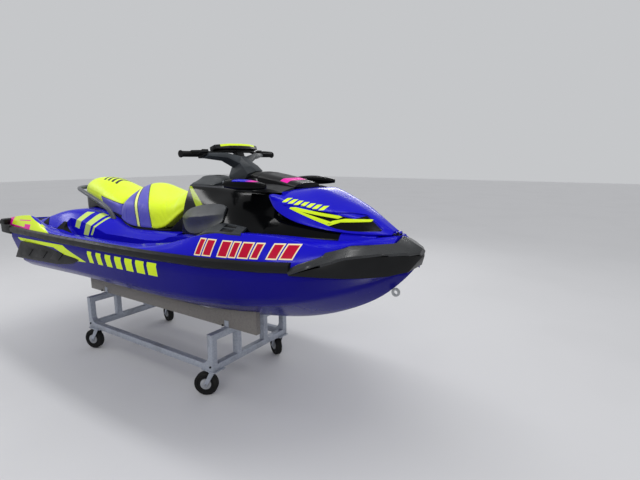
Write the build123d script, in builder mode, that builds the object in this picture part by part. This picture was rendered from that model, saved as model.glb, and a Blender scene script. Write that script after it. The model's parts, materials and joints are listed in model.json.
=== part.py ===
from build123d import *
import math
import os

# Personal watercraft on its workshop trolley. Millimetres.
# +X points to the bow, +Y to port, +Z up. The origin is on the floor, midway along the boat.

# Overall sizes of the boat
LENGTH = 3450
BEAM = 1255
KEEL_Z = 400
BOND_Z = 922
SHEER = 0.0155
HALF_L = LENGTH / 2
HALF_B = BEAM / 2

# Rub rail, bumpers and the seam they cover
RAIL_HEIGHT = 52
RAIL_IN = 26
RAIL_CHAMFER = 12
TRANSOM_X = -0.855 * HALF_L
RAIL_STATIONS = [share * HALF_L for share in (-0.855, -0.696, -0.348, 0.0, 0.232, 0.464, 0.638, 0.72)]
STERN_BUMPER_H = 70
STERN_CORNER_R = 90
STERN_BUMPER_T = 34
STERN_BUMPER_LOW_Z = 862
DECK_INSET = 14
BOW_INSET = 45
BOW_SHARE = 0.82

# Footwells
WELL_FLOOR_Z = 845
WELL_REAR_X = -930
WELL_FRONT_X = 470
WELL_IN_Y = 345
WELL_OUT_Y = 520
WELL_SKIN = 12
MAT_T = 6
MAT_EDGE = 18

# Seats and the plinth under them
PLINTH_REAR_X = -1330
SEAT_JOIN_X = -480
SEAT_GAP = 1.5
SEAT_NOSE_X = 205
REAR_SEAT_END_X = -1225
HANDLE_R = 16

# Engine, one plain block in its bay
ENGINE_L = 700
ENGINE_W = 370
ENGINE_H = 395
ENGINE_X = -60
ENGINE_Z = 540
BAY_GAP = 12

# Jet pump and its tunnel
PUMP_Z = 540
PUMP_R = 88
PUMP_WALL = 8
PUMP_FRONT_X = -1120
PUMP_REAR_X = -1400
VENTURI_END_X = -1520
VENTURI_R = 58
CONE_END_X = -1465
IMPELLER_R = 75
HUB_R = 22
BLADE_T = 4
DRIVE_R = 14
TUNNEL_HALF_W = 150
TUNNEL_TOP_Z = 650
TUNNEL_FRONT_X = -1030
NOZZLE_L = 100
NOZZLE_LEAD = 12
NOZZLE_R = 76
NOZZLE_END_R = 52
NOZZLE_WALL = 7
NOZZLE_PIN_X = -1496
NOZZLE_PIN_R = 7
EAR_T = 8
GATE_ARM_Y = 122
GATE_R = 197
GATE_T = 7
GATE_PIN_X = -1440
GATE_PIN_R = 8
GATE_PARK = 48
GATE_HALF_ANGLE = 28
GATE_ARM_T = 6
GRATE_REAR_X = TUNNEL_FRONT_X
GRATE_FRONT_X = -560
GRATE_HALF_W = 85
GRATE_DEPTH = 85
RIDE_PLATE_T = 10
RIDE_PLATE_REAR_X = -1500
GRATE_BAR = 8
FIT = 0.05

# Console, storage lid and what rides on it
LID_GAP = 6
BIN_REAR_X = 1030
BIN_FRONT_X = 1370
BIN_HALF_W = 150
BIN_FLOOR_Z = 930
BIN_WALL = 5
BIN_RIM_Z = 1080
KNEE_T = 9
VENT_T = 7
VENT_RISE = 10
VISOR_REAR_X = 704
COWL_REAR_X = 745
COWL_FRONT_X = 1026
COWL_HALF_W = 238
COWL_LIFT = 6
LID_SKIN = 12
LID_HINGE_X = 1598
LID_HINGE_Z = 1080
LID_HINGE_R = 7
LID_PIN_R = 3
COWL_SEAT_Z = 1268
COWL_TOP_Z = 1312
GAUGE_W = 190
GAUGE_H = 34
GAUGE_T = 10
POD_REAR_X = 735
POD_Y = 338
GLASS_T = 4
GLOVE_REAR_X = 220
GLOVE_FRONT_X = 423
GLOVE_HALF_W = 117
GLOVE_EDGE = 6
GLOVE_LEDGE = 18
GLOVE_SUNK = 6
GLOVE_HINGE_X = 411
GLOVE_DEPTH = 95
GLOVE_LID_T = 12
CONSOLE_TOP_Z = 1288

# Steering, turning about a raked axis
STEER_X = 565
STEER_Z = 1300
STEER_RAKE = 20
STEER_BASE_R = 62
STEER_SHAFT_R = 14
STEER_SHAFT_L = 46
STEER_BOSS_UP = 14
RUN_GAP = 6
BAR_R = 11
BAR_RISE = 212
BAR_HALF = 395
BAR_SWEEP = 60
ARM_REACH = 240
PAD_HALF = 185
PAD_UP = 36
GRIP_R = 17
GRIP_L = 125

# Trolley
TUBE = 40
TRACK_HALF = 344
FRAME_REAR_X = -765
FRAME_FRONT_X = 555
FRAME_Z = 176
ARM_TOP_Z = 412
ARM_IN_Y = 130
BEND_R = 55
BUNK_Y = 196
BUNK_W = 38
BUNK_REAR_X = -985
BUNK_FRONT_X = 800
BUNK_TOP_Z = 600

# Casters
WHEEL_R = 75
WHEEL_W = 44
AXLE_R = 6
TRAIL = 47
PLATE_L = 112
PLATE_W = 96
PLATE_T = 7
KINGPIN_R = 9
FORK_T = 4
FORK_DISC_R = 34
FORK_SIDE_GAP = 5.5
FORK_LEG_HALF = 17
FORK_TOP_Z = 160
RACE_R = 24
RACE_GAP = 0.4

# Tow eyes
EYE_R = 11
EYE_WALL = 12
EYE_T = 10
BOW_EYE_X = 1588
BOW_EYE_Z = 762
STERN_EYE_Y = 300
STERN_EYE_Z = 760

# Plan of the rail: share of half length, share of half beam
PLAN = (
    (-1.0, 0.86), (-0.696, 0.916), (-0.348, 0.972), (0.0, 1.0), (0.232, 0.996), (0.464, 0.956),
    (0.638, 0.853), (0.783, 0.685), (0.899, 0.462), (0.974, 0.223), (1.0, 0.03),
)

# Hull sections: along and rail share as above; keel and chine heights over the keel; chine half width
HULL = (
    # along, keel_up, chine_y, chine_up, rail_in
    (-0.855, 0, 480, 235, 12),
    (-0.600, 0, 504, 258, 12),
    (-0.350, 0, 530, 288, 12),
    (0.000, 0, 543, 292, 12),
    (0.220, 6, 545, 298, 12),
    (0.435, 58, 522, 315, 12),
    (0.565, 96, 468, 334, 12),
    (0.680, 152, 392, 362, 16),
    (0.785, 229, 290, 398, 24),
    (0.880, 322, 165, 440, 34),
    (0.950, 442, 60, 492, 44),
    (0.975, 498, 22, 524, 52),
)

# Deck edge: along, crest_in and crest_z of the gunwale, inner_y and inner_z of the surface inboard
DECK = (
    # along, crest_in, crest_z, inner_y, inner_z
    (-0.995, 60, 962, 380, 935),
    (-0.900, 62, 978, 400, 938),
    (-0.680, 64, 1020, 430, 950),
    (-0.600, 52, 985, 440, 940),
    (-0.520, 34, 944, 440, 922),
    (0.100, 36, 950, 440, 932),
    (0.120, 38, 952, 345, 984),
    (0.210, 48, 968, 345, 990),
    (0.310, 52, 1004, 400, 1002),
    (0.440, 58, 1082, 420, 1070),
    (0.590, 56, 1092, 400, 1078),
    (0.690, 96, 1074, 330, 1068),
    (0.800, 57, 1020, 268, 1046),
    (0.850, 70, 1048, 215, 1056),
    (0.890, 151, 1058, 130, 1064),
    (0.938, 132, 1049, 50, 1068),
)

# Plinth under the seats: x, half width at its foot and at its top, height of its top
PLINTH = (
    # x, foot_y, top_y, top_z
    (PLINTH_REAR_X, 420, 360, 975),
    (-1100, 430, 330, 1050),
    (-900, 430, 290, 1085),
    (-580, 400, 262, 1048),
    (-400, 345, 262, 988),
    (-260, 335, 262, 966),
    (100, 335, 262, 984),
    (0.120 * HALF_L, 335, 262, 984),
)

# Console: shoulder and top of its half section, at deck sections, which give the height of its foot
CONSOLE = (
    # along, foot_y, shoulder_y, shoulder_z, top_y, top_z
    (0.120, 235, 205, 1170, 150, CONSOLE_TOP_Z),
    (0.210, 280, 232, 1180, 185, CONSOLE_TOP_Z),
    (0.310, 330, 270, 1190, 205, CONSOLE_TOP_Z - 4),
    (0.440, 400, 325, 1220, 235, COWL_SEAT_Z),
    (0.585, 398, 290, 1150, 238, COWL_SEAT_Z - 6),
    (0.590, 398, 290, 1150, 238, 1176),
    (0.690, 326, 292, 1118, 250, 1118),
    (0.800, 236, 208, 1082, 170, 1082),
    (0.880, 116, 100, 1070, 80, 1070),
)

# Storage lid: x, half widths and heights of its foot, shoulder and crown
LID = (
    # x, foot_y, foot_z, shoulder_y, shoulder_z, crown_y, crown_z
    (965, 268, 1250, 262, 1264, 130, 1280),
    (1026, 306, 1192, 285, 1258, 130, 1287),
    (1110, 308, 1155, 284, 1220, 110, 1290),
    (1165, 300, 1134, 270, 1210, 90, 1299),
    (1275, 268, 1109, 232, 1190, 70, 1257),
    (1400, 201, 1088, 128, 1174, 36, 1204),
    (1500, 126, 1079, 56, 1128, 20, 1142),
    (1580, 52, 1075, 32, 1083, 14, 1088),
)

# Bow bumper: x, half width and height of its crease, of its upper edge, its ridge, and the skirt's foot
BUMPER = (
    # x, crease_y, crease_z, upper_y, upper_z, ridge_z, foot_z
    (1240, 480, 922, 452, 948, 948, 905),
    (1378, 412, 966, 362, 1014, 1014, 900),
    (1470, 350, 1000, 288, 1044, 1040, 895),
    (1560, 264, 1008, 105, 1053, 1050, 892),
    (1622, 190, 1006, 92, 1040, 1066, 893),
    (1690, 102, 1000, 72, 1009, 1030, 906),
    (1725, 36, 994, 26, 1000, 1012, 966),
)
BUMPER_LIP = 14
SKIRT_IN = 10

# Seat foams: x, half width and height of the foot, of the side, of the crown
SEAT_FRONT = (
    # x, foot_y, foot_z, side_y, side_z, crown_y, crown_z
    (SEAT_JOIN_X + SEAT_GAP, 232, 1030, 222, 1130, 90, 1212),
    (-400, 250, 1000, 252, 1150, 110, 1266),
    (-290, 258, 980, 258, 1160, 120, 1281),
    (-150, 258, 985, 250, 1160, 120, 1272),
    (10, 256, 992, 222, 1150, 100, 1243),
    (100, 248, 998, 200, 1150, 95, 1242),
    (SEAT_NOSE_X, 200, 1110, 175, 1180, 95, 1266),
)
SEAT_REAR = (
    (REAR_SEAT_END_X, 40, 1190, 42, 1225, 30, 1258),
    (-1150, 95, 1165, 100, 1215, 70, 1276),
    (-1060, 128, 1135, 132, 1215, 90, 1292),
    (-890, 165, 1105, 170, 1205, 115, 1304),
    (-790, 180, 1088, 186, 1195, 122, 1294),
    (-650, 205, 1068, 208, 1165, 118, 1252),
    (SEAT_JOIN_X - SEAT_GAP, 222, 1040, 214, 1130, 90, 1212),
)


def along(share):
    return share * HALF_L


def bond(x):
    return BOND_Z + SHEER * x


def half_beam(x):
    share = x / HALF_L
    for (a, ya), (b, yb) in zip(PLAN, PLAN[1:]):
        if share <= b:
            return HALF_B * (ya + (yb - ya) * (share - a) / (b - a))
    return HALF_B * PLAN[-1][1]


def mirrored(half):
    return half + [(-y, z) for y, z in reversed(half) if y > 0]


def lofted(stations):
    """A solid through sections along the boat, each given as (x, half outline)."""
    with BuildPart() as body:
        for x, half in stations:
            with BuildSketch(Plane.YZ.offset(x)):
                with BuildLine():
                    Polyline(*mirrored(half), close=True)
                make_face()
        loft(ruled=True)
    return body.part


def seven_point(table):
    return [(x, [(0, fz), (fy, fz), (sy, sz), (cy, cz), (0, cz)]) for x, fy, fz, sy, sz, cy, cz in table]


def plateau(share):
    """Height of the deck's inboard surface."""
    for a, b in zip(DECK, DECK[1:]):
        if share <= b[0]:
            return a[4] + (b[4] - a[4]) * (share - a[0]) / (b[0] - a[0])
    return DECK[-1][4]


def block(low, high, mode=Mode.ADD):
    size = [b - a for a, b in zip(low, high)]
    with Locations(tuple((a + b) / 2 for a, b in zip(low, high))):
        Box(*size, mode=mode)


def both_sides(low, high, mode=Mode.ADD):
    block(low, high, mode)
    block((low[0], -high[1], low[2]), (high[0], -low[1], high[2]), mode)


def hull_sections():
    rows = []
    for share, keel_up, chine_y, chine_up, rail_in in HULL:
        x = along(share)
        rail_y = half_beam(x) - rail_in
        rows.append((x, [
            (0, KEEL_Z + keel_up),
            (chine_y - 0.12 * chine_y, KEEL_Z + keel_up + 0.80 * (chine_up - keel_up)),
            (chine_y, KEEL_Z + chine_up),
            (rail_y, bond(x) - 60),
            (rail_y, bond(x)),
            (0, bond(x)),
        ]))
    return rows


def deck_sections():
    rows = []
    for share, crest_in, crest_z, inner_y, inner_z in DECK:
        x = along(share)
        edge = half_beam(x) - (DECK_INSET if share < BOW_SHARE else BOW_INSET)
        crest_y = half_beam(x) - crest_in
        rows.append((x, [
            (0, bond(x)),
            (edge, bond(x)),
            (crest_y, crest_z),
            (min(inner_y, crest_y - 10), inner_z),
            (0, inner_z),
        ]))
    return rows


# Corners of the engine bay and of the storage bin's room
bay_low = (ENGINE_X - ENGINE_L / 2 - BAY_GAP, -ENGINE_W / 2 - BAY_GAP, ENGINE_Z)
bay_high = (ENGINE_X + ENGINE_L / 2 + BAY_GAP, ENGINE_W / 2 + BAY_GAP, ENGINE_Z + ENGINE_H + BAY_GAP)
bin_low = (BIN_REAR_X, -BIN_HALF_W, BIN_FLOOR_Z)
bin_high = (BIN_FRONT_X, BIN_HALF_W, BOND_Z + 300)

# Engine bay, jet tunnel, intake and footwells are taken out of the hull
with BuildPart() as hull:
    add(lofted(hull_sections()))
    block(bay_low, bay_high, Mode.SUBTRACT)
    block((TRANSOM_X - 10, -TUNNEL_HALF_W, KEEL_Z - 10), (TUNNEL_FRONT_X, TUNNEL_HALF_W, TUNNEL_TOP_Z),
          Mode.SUBTRACT)
    block((GRATE_REAR_X, -GRATE_HALF_W, KEEL_Z - 10), (GRATE_FRONT_X, GRATE_HALF_W, KEEL_Z + GRATE_DEPTH),
          Mode.SUBTRACT)
    both_sides((WELL_REAR_X, WELL_IN_Y, WELL_FLOOR_Z - WELL_SKIN), (WELL_FRONT_X, WELL_OUT_Y, BOND_Z + 100),
               Mode.SUBTRACT)
    block(bin_low, bin_high, Mode.SUBTRACT)
    with BuildSketch(Plane.YZ.offset(TUNNEL_FRONT_X - 1)):
        with Locations((0, PUMP_Z)):
            Circle(DRIVE_R + FIT)
    extrude(amount=60, mode=Mode.SUBTRACT)
hull.part.label = "hull"


def stern_outline(inset):
    """The swim platform's plan, from the transom aft, drawn in by the inset."""
    side_y = half_beam(TRANSOM_X) - inset
    corner_y = half_beam(-HALF_L) - inset
    with BuildSketch(Plane.XY.offset(STERN_BUMPER_LOW_Z)) as plan:
        with BuildLine():
            FilletPolyline((TRANSOM_X, side_y), (-HALF_L + inset, corner_y), (-HALF_L + inset, -corner_y),
                           (TRANSOM_X, -side_y), radius=STERN_CORNER_R - inset)
            Line((TRANSOM_X, -side_y), (TRANSOM_X, side_y))
        make_face()
    return plan.sketch


# Stern bumper, a ring round the swim platform
with BuildPart() as stern_bumper:
    extrude(stern_outline(0), amount=STERN_BUMPER_H)
    extrude(stern_outline(STERN_BUMPER_T), amount=STERN_BUMPER_H, mode=Mode.SUBTRACT)
stern_bumper.part.label = "stern_bumper"

# Room that the stern bumper leaves the deck
with BuildPart() as deck_space:
    extrude(stern_outline(STERN_BUMPER_T), amount=STERN_BUMPER_H)
    block((TRANSOM_X, -HALF_B, STERN_BUMPER_LOW_Z), (HALF_L, HALF_B, BOND_Z + 400))
    extrude(stern_outline(STERN_BUMPER_T).moved(Location((0, 0, STERN_BUMPER_H))), amount=STERN_BUMPER_H)

# Painted deck with its plinth, footwells and swim platform
with BuildPart() as deck:
    add(lofted(deck_sections()))
    add(deck_space.part, mode=Mode.INTERSECT)
    add(lofted([(x, [(0, bond(x)), (foot_y, bond(x)), (top_y, top_z), (0, top_z)])
                for x, foot_y, top_y, top_z in PLINTH]))
    both_sides((WELL_REAR_X, WELL_IN_Y, WELL_FLOOR_Z - WELL_SKIN),
               (WELL_FRONT_X, WELL_OUT_Y, bond(WELL_FRONT_X) + 4))
    both_sides((WELL_REAR_X + WELL_SKIN, WELL_IN_Y + WELL_SKIN, WELL_FLOOR_Z),
               (WELL_FRONT_X - WELL_SKIN, WELL_OUT_Y - WELL_SKIN, BOND_Z + 250), Mode.SUBTRACT)
    block(bay_low, bay_high, Mode.SUBTRACT)
    block(bin_low, bin_high, Mode.SUBTRACT)
deck.part.label = "deck"

# Bow bumper and the black skirt beneath it, round the nose of hull and deck
with BuildPart() as bow_bumper:
    add(lofted([(x, [(0, cz - BUMPER_LIP), (cy - SKIRT_IN, cz - BUMPER_LIP), (cy, cz), (uy, uz), (0, ridge)])
                for x, cy, cz, uy, uz, ridge, _ in BUMPER]))
    add(hull.part, mode=Mode.SUBTRACT)
    add(deck.part, mode=Mode.SUBTRACT)
    block(bin_low, bin_high, Mode.SUBTRACT)
bow_bumper.part.label = "bow_bumper"

with BuildPart() as bow_skirt:
    add(lofted([(x, [(0, foot), (cy - SKIRT_IN, foot), (cy - SKIRT_IN, cz - BUMPER_LIP), (0, cz - BUMPER_LIP)])
                for x, cy, cz, _, _, _, foot in BUMPER]))
    add(hull.part, mode=Mode.SUBTRACT)
    add(deck.part, mode=Mode.SUBTRACT)
    block(bin_low, bin_high, Mode.SUBTRACT)
bow_skirt.part.label = "bow_skirt"

# Rub rail over the seam between hull and deck
with BuildPart() as side_rails:
    for side in (1, -1):
        for x in RAIL_STATIONS:
            y = half_beam(x) * side
            with BuildSketch(Plane.YZ.offset(x)):
                with BuildLine():
                    Polyline((y - RAIL_IN * side, bond(x) - RAIL_HEIGHT / 2),
                             (y - RAIL_CHAMFER * side, bond(x) - RAIL_HEIGHT / 2),
                             (y, bond(x) - RAIL_HEIGHT / 2 + RAIL_CHAMFER),
                             (y, bond(x) + RAIL_HEIGHT / 2 - RAIL_CHAMFER),
                             (y - RAIL_CHAMFER * side, bond(x) + RAIL_HEIGHT / 2),
                             (y - RAIL_IN * side, bond(x) + RAIL_HEIGHT / 2), close=True)
                make_face()
        loft(ruled=True)
    add(hull.part, mode=Mode.SUBTRACT)
    add(deck.part, mode=Mode.SUBTRACT)
    add(bow_bumper.part, mode=Mode.SUBTRACT)
    add(bow_skirt.part, mode=Mode.SUBTRACT)
side_rails.part.label = "side_rails"

# Pan between the plinth and the foams: x, half width and height of its foot and of its top
SEAT_BASE = (
    # x, foot_y, foot_z, top_y, top_z
    (-1215, 34, 1000, 34, 1200),
    (-1150, 84, 1020, 86, 1180),
    (-1060, 118, 1045, 118, 1150),
    (-890, 155, 1070, 155, 1115),
    (-650, 195, 1040, 195, 1080),
    (-480, 212, 1000, 212, 1045),
    (-400, 238, 975, 238, 1010),
    (-290, 248, 960, 248, 995),
    (10, 246, 962, 246, 1005),
    (100, 238, 968, 238, 1020),
    (SEAT_NOSE_X, 190, 975, 190, 1135),
)
with BuildPart() as seat_front:
    add(lofted(seven_point(SEAT_FRONT)))
seat_front.part.label = "seat_front"

with BuildPart() as seat_rear:
    add(lofted(seven_point(SEAT_REAR)))
seat_rear.part.label = "seat_rear"

with BuildPart() as seat_base:
    add(lofted([(x, [(0, fz), (fy, fz), (ty, tz), (0, tz)]) for x, fy, fz, ty, tz in SEAT_BASE]))
    add(deck.part, mode=Mode.SUBTRACT)
    add(seat_front.part, mode=Mode.SUBTRACT)
    add(seat_rear.part, mode=Mode.SUBTRACT)
seat_base.part.label = "seat_base"

# Grab handle round the rear seat, from its foot on the plinth to the middle
HANDLE_PATH = (
    (-520, 246, 1015), (-545, 246, 1060), (-620, 242, 1104), (-760, 222, 1140),
    (-900, 200, 1168), (-1050, 172, 1198), (-1200, 125, 1212), (-1262, 60, 1215), (-1275, 0, 1216),
)
with BuildPart() as grab_handle:
    with BuildLine() as handle_line:
        Polyline(*HANDLE_PATH, *[(x, -y, z) for x, y, z in reversed(HANDLE_PATH[:-1])])
    with BuildSketch(Plane(origin=handle_line.line @ 0, z_dir=handle_line.line % 0)):
        Circle(HANDLE_R)
    sweep(path=handle_line.line, transition=Transition.ROUND)
    add(deck.part, mode=Mode.SUBTRACT)
grab_handle.part.label = "grab_handle"

# Rubber mats in the footwells and on the swim platform
MAT_REAR_X = -1640
MAT_FRONT_X = -1345
MAT_KINK_X = -0.900 * HALF_L
MAT_HALF_W = 350
with BuildPart() as deck_mats:
    edge = WELL_SKIN + MAT_EDGE
    both_sides((WELL_REAR_X + edge, WELL_IN_Y + edge, WELL_FLOOR_Z),
               (WELL_FRONT_X - edge, WELL_OUT_Y - edge, WELL_FLOOR_Z + MAT_T))
    add(lofted([(x, [(0, plateau(x / HALF_L)), (MAT_HALF_W, plateau(x / HALF_L)),
                     (MAT_HALF_W, plateau(x / HALF_L) + MAT_T), (0, plateau(x / HALF_L) + MAT_T)])
                for x in (MAT_REAR_X, MAT_KINK_X, MAT_FRONT_X)]))
deck_mats.part.label = "deck_mats"


def vee(x, y):
    """Height of the hull's bottom beside the keel."""
    share = x / HALF_L
    for (a, ka, ya, ua, _), (b, kb, yb, ub, _) in zip(HULL, HULL[1:]):
        if share <= b or b == HULL[-1][0]:
            t = max(0, (share - a) / (b - a))
            keel = ka + (kb - ka) * t
            out = 0.88 * (ya + (yb - ya) * t)
            rise = 0.80 * ((ua - ka) + ((ub - kb) - (ua - ka)) * t)
            return KEEL_Z + keel + rise * abs(y) / out


# Sponsons on the hull's sides, with three raised lugs
SPONSON = ((-1369, 695), (-716, 722), (-537, 748), (-428, 788), (-697, 845), (-1251, 829))
SPONSON_LUGS = ((-1250, 730), (-1030, 740), (-810, 750))
SPONSON_OUT_Y = 578
with BuildPart() as sponsons:
    with BuildSketch(Plane.XZ.offset(-SPONSON_OUT_Y)):
        with BuildLine():
            Polyline(*SPONSON, close=True)
        make_face()
    extrude(amount=110)
    with BuildSketch(Plane.XZ.offset(-SPONSON_OUT_Y - 5)):
        for x, z in SPONSON_LUGS:
            with BuildLine():
                Polyline((x, z), (x + 110, z), (x + 190, z + 60), (x + 80, z + 60), close=True)
            make_face()
    extrude(amount=20)
    mirror(about=Plane.XZ)
    add(hull.part, mode=Mode.SUBTRACT)
    add(deck.part, mode=Mode.SUBTRACT)
    add(side_rails.part, mode=Mode.SUBTRACT)
sponsons.part.label = "sponsons"

# Ride plate closing the jet tunnel from below
def vee_strip(x, half_w, low, high):
    return (x, [(0, vee(x, 0) + low), (half_w, vee(x, half_w) + low), (half_w, vee(x, half_w) + high),
                (0, vee(x, 0) + high)])


with BuildPart() as ride_plate:
    add(lofted([vee_strip(RIDE_PLATE_REAR_X, TUNNEL_HALF_W, 0, RIDE_PLATE_T),
                vee_strip(TRANSOM_X, TUNNEL_HALF_W, 0, RIDE_PLATE_T),
                vee_strip(TUNNEL_FRONT_X, TUNNEL_HALF_W, 0, RIDE_PLATE_T)]))
ride_plate.part.label = "ride_plate"

# Intake grate, two end bars and four long ones
GRATE_BARS = (-51, -17, 17, 51)
with BuildPart() as intake_grate:
    for rear in (GRATE_REAR_X, GRATE_FRONT_X - 12):
        add(lofted([vee_strip(rear, GRATE_HALF_W, 0, GRATE_BAR), vee_strip(rear + 12, GRATE_HALF_W, 0, GRATE_BAR)]))
    for y in GRATE_BARS:
        z = vee(GRATE_REAR_X, y) + 3
        block((GRATE_REAR_X, y - GRATE_BAR / 2, z), (GRATE_FRONT_X, y + GRATE_BAR / 2, z + GRATE_BAR))
intake_grate.part.label = "intake_grate"

# Jet pump: flange, tube, cone, stator, and the bosses and pins that carry nozzle and gate
PUMP_FLANGE_T = 12
STATOR_FRONT_X = -1335
pump_axis = Plane(origin=(0, 0, PUMP_Z), x_dir=(0, 1, 0), z_dir=(1, 0, 0))
PUMP_PROFILE = ((PUMP_FRONT_X, PUMP_R), (PUMP_REAR_X, PUMP_R), (CONE_END_X, VENTURI_R),
                (VENTURI_END_X, VENTURI_R))
with BuildPart() as jet_pump:
    with BuildSketch(Plane.XZ):
        with BuildLine():
            Polyline(*[(x, PUMP_Z + r) for x, r in PUMP_PROFILE], (VENTURI_END_X, PUMP_Z), (PUMP_FRONT_X, PUMP_Z),
                     close=True)
        make_face()
    revolve(axis=Axis((0, 0, PUMP_Z), (1, 0, 0)))
    with BuildSketch(Plane.YZ.offset(PUMP_FRONT_X)):
        with BuildLine():
            low = [(y, vee(PUMP_FRONT_X, y) + RIDE_PLATE_T + 0.3) for y in (-TUNNEL_HALF_W, 0, TUNNEL_HALF_W)]
            Polyline(*low, (TUNNEL_HALF_W, TUNNEL_TOP_Z), (-TUNNEL_HALF_W, TUNNEL_TOP_Z), close=True)
        make_face()
    extrude(amount=PUMP_FLANGE_T)
    # Gate bosses and pins
    with BuildSketch(Plane.XZ.offset(-GATE_ARM_Y + GATE_ARM_T + RACE_GAP)):
        with Locations((GATE_PIN_X, PUMP_Z)):
            Circle(GATE_PIN_R + 6)
    extrude(amount=(GATE_ARM_Y - GATE_ARM_T - RACE_GAP) * 2)
    with BuildSketch(Plane.XZ.offset(-GATE_ARM_Y - 2)):
        with Locations((GATE_PIN_X, PUMP_Z)):
            Circle(GATE_PIN_R)
    extrude(amount=(GATE_ARM_Y + 2) * 2)
    # Nozzle bosses and pins
    with BuildSketch(Plane.XY.offset(PUMP_Z - NOZZLE_R + NOZZLE_WALL - 1 + RACE_GAP)):
        with Locations((NOZZLE_PIN_X, 0)):
            Circle(NOZZLE_PIN_R + 1.5)
    extrude(amount=2 * (NOZZLE_R - NOZZLE_WALL + 1 - RACE_GAP))
    with BuildSketch(Plane.XY.offset(PUMP_Z - NOZZLE_R - EAR_T)):
        with Locations((NOZZLE_PIN_X, 0)):
            Circle(NOZZLE_PIN_R)
    extrude(amount=2 * (NOZZLE_R + EAR_T))
    # Water way
    with BuildSketch(Plane.XZ):
        with BuildLine():
            Polyline((PUMP_FRONT_X + PUMP_FLANGE_T + 1, PUMP_Z + PUMP_R - PUMP_WALL),
                     *[(x, PUMP_Z + r - PUMP_WALL) for x, r in PUMP_PROFILE[1:-1]],
                     (VENTURI_END_X - 1, PUMP_Z + VENTURI_R - PUMP_WALL),
                     (VENTURI_END_X - 1, PUMP_Z), (PUMP_FRONT_X + PUMP_FLANGE_T + 1, PUMP_Z), close=True)
        make_face()
    revolve(axis=Axis((0, 0, PUMP_Z), (1, 0, 0)), mode=Mode.SUBTRACT)
    # Stator hub and vanes with the tail bearing
    with BuildSketch(Plane.YZ.offset(PUMP_REAR_X)):
        with Locations((0, PUMP_Z)):
            Circle(HUB_R)
            with PolarLocations(0, 5, start_angle=18):
                with Locations((PUMP_R / 2, 0)):
                    Rectangle(PUMP_R - 4, BLADE_T)
    extrude(amount=STATOR_FRONT_X - PUMP_REAR_X)
    with BuildSketch(Plane.YZ.offset(PUMP_REAR_X)):
        with Locations((0, PUMP_Z)):
            Circle(DRIVE_R + FIT)
    extrude(amount=STATOR_FRONT_X - PUMP_REAR_X, mode=Mode.SUBTRACT)
jet_pump.part.label = "jet_pump"

# Impeller and drive shaft
IMPELLER_REAR_X = -1325
IMPELLER_FRONT_X = -1215
BLADE_TURN = 80
BLADES = 3
with BuildPart() as impeller:
    with BuildSketch(Plane.YZ.offset(PUMP_REAR_X + 5)):
        with Locations((0, PUMP_Z)):
            Circle(DRIVE_R)
    extrude(amount=TUNNEL_FRONT_X + 45 - PUMP_REAR_X)
    with BuildSketch(Plane.YZ.offset(IMPELLER_REAR_X)):
        with Locations((0, PUMP_Z)):
            Circle(HUB_R)
    extrude(amount=IMPELLER_FRONT_X - IMPELLER_REAR_X)
    for blade in range(BLADES):
        for step in range(3):
            x = IMPELLER_REAR_X + 5 + (IMPELLER_FRONT_X - IMPELLER_REAR_X - 10) * step / 2
            a = math.radians(360 / BLADES * blade + BLADE_TURN * step / 2)
            ring = []
            for r, t in ((HUB_R - 4, -1), (IMPELLER_R, -1), (IMPELLER_R, 1), (HUB_R - 4, 1)):
                t *= BLADE_T / 2
                ring.append((r * math.cos(a) - t * math.sin(a), PUMP_Z + r * math.sin(a) + t * math.cos(a)))
            with BuildSketch(Plane.YZ.offset(x)):
                with BuildLine():
                    Polyline(*ring, close=True)
                make_face()
        loft(ruled=True)
impeller.part.label = "impeller"

# Steering nozzle on its two upright pins
nozzle_front = NOZZLE_PIN_X - NOZZLE_LEAD
nozzle_rear = nozzle_front - NOZZLE_L
with BuildPart() as steering_nozzle:
    with BuildSketch(Plane.XZ):
        with BuildLine():
            Polyline((nozzle_front, PUMP_Z + NOZZLE_R), (nozzle_rear, PUMP_Z + NOZZLE_END_R),
                     (nozzle_rear, PUMP_Z + NOZZLE_END_R - NOZZLE_WALL),
                     (nozzle_front, PUMP_Z + NOZZLE_R - NOZZLE_WALL), close=True)
        make_face()
    revolve(axis=Axis((0, 0, PUMP_Z), (1, 0, 0)))
    for low in (PUMP_Z + NOZZLE_R - NOZZLE_WALL + 1, PUMP_Z - NOZZLE_R + NOZZLE_WALL - 1 - EAR_T):
        with BuildSketch(Plane.XY.offset(low)):
            with Locations((NOZZLE_PIN_X, 0)):
                Circle(NOZZLE_PIN_R + 7)
            with Locations((NOZZLE_PIN_X - NOZZLE_LEAD, 0)):
                Rectangle(2 * NOZZLE_LEAD, 2 * (NOZZLE_PIN_R + 7))
            with Locations((NOZZLE_PIN_X, 0)):
                Circle(NOZZLE_PIN_R + FIT, mode=Mode.SUBTRACT)
        extrude(amount=EAR_T)
steering_nozzle.part.label = "steering_nozzle"

# Reverse gate, parked above the jet
def on_gate(radius, degrees):
    a = math.radians(degrees)
    return (GATE_PIN_X - radius * math.cos(a), PUMP_Z + radius * math.sin(a))


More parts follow.
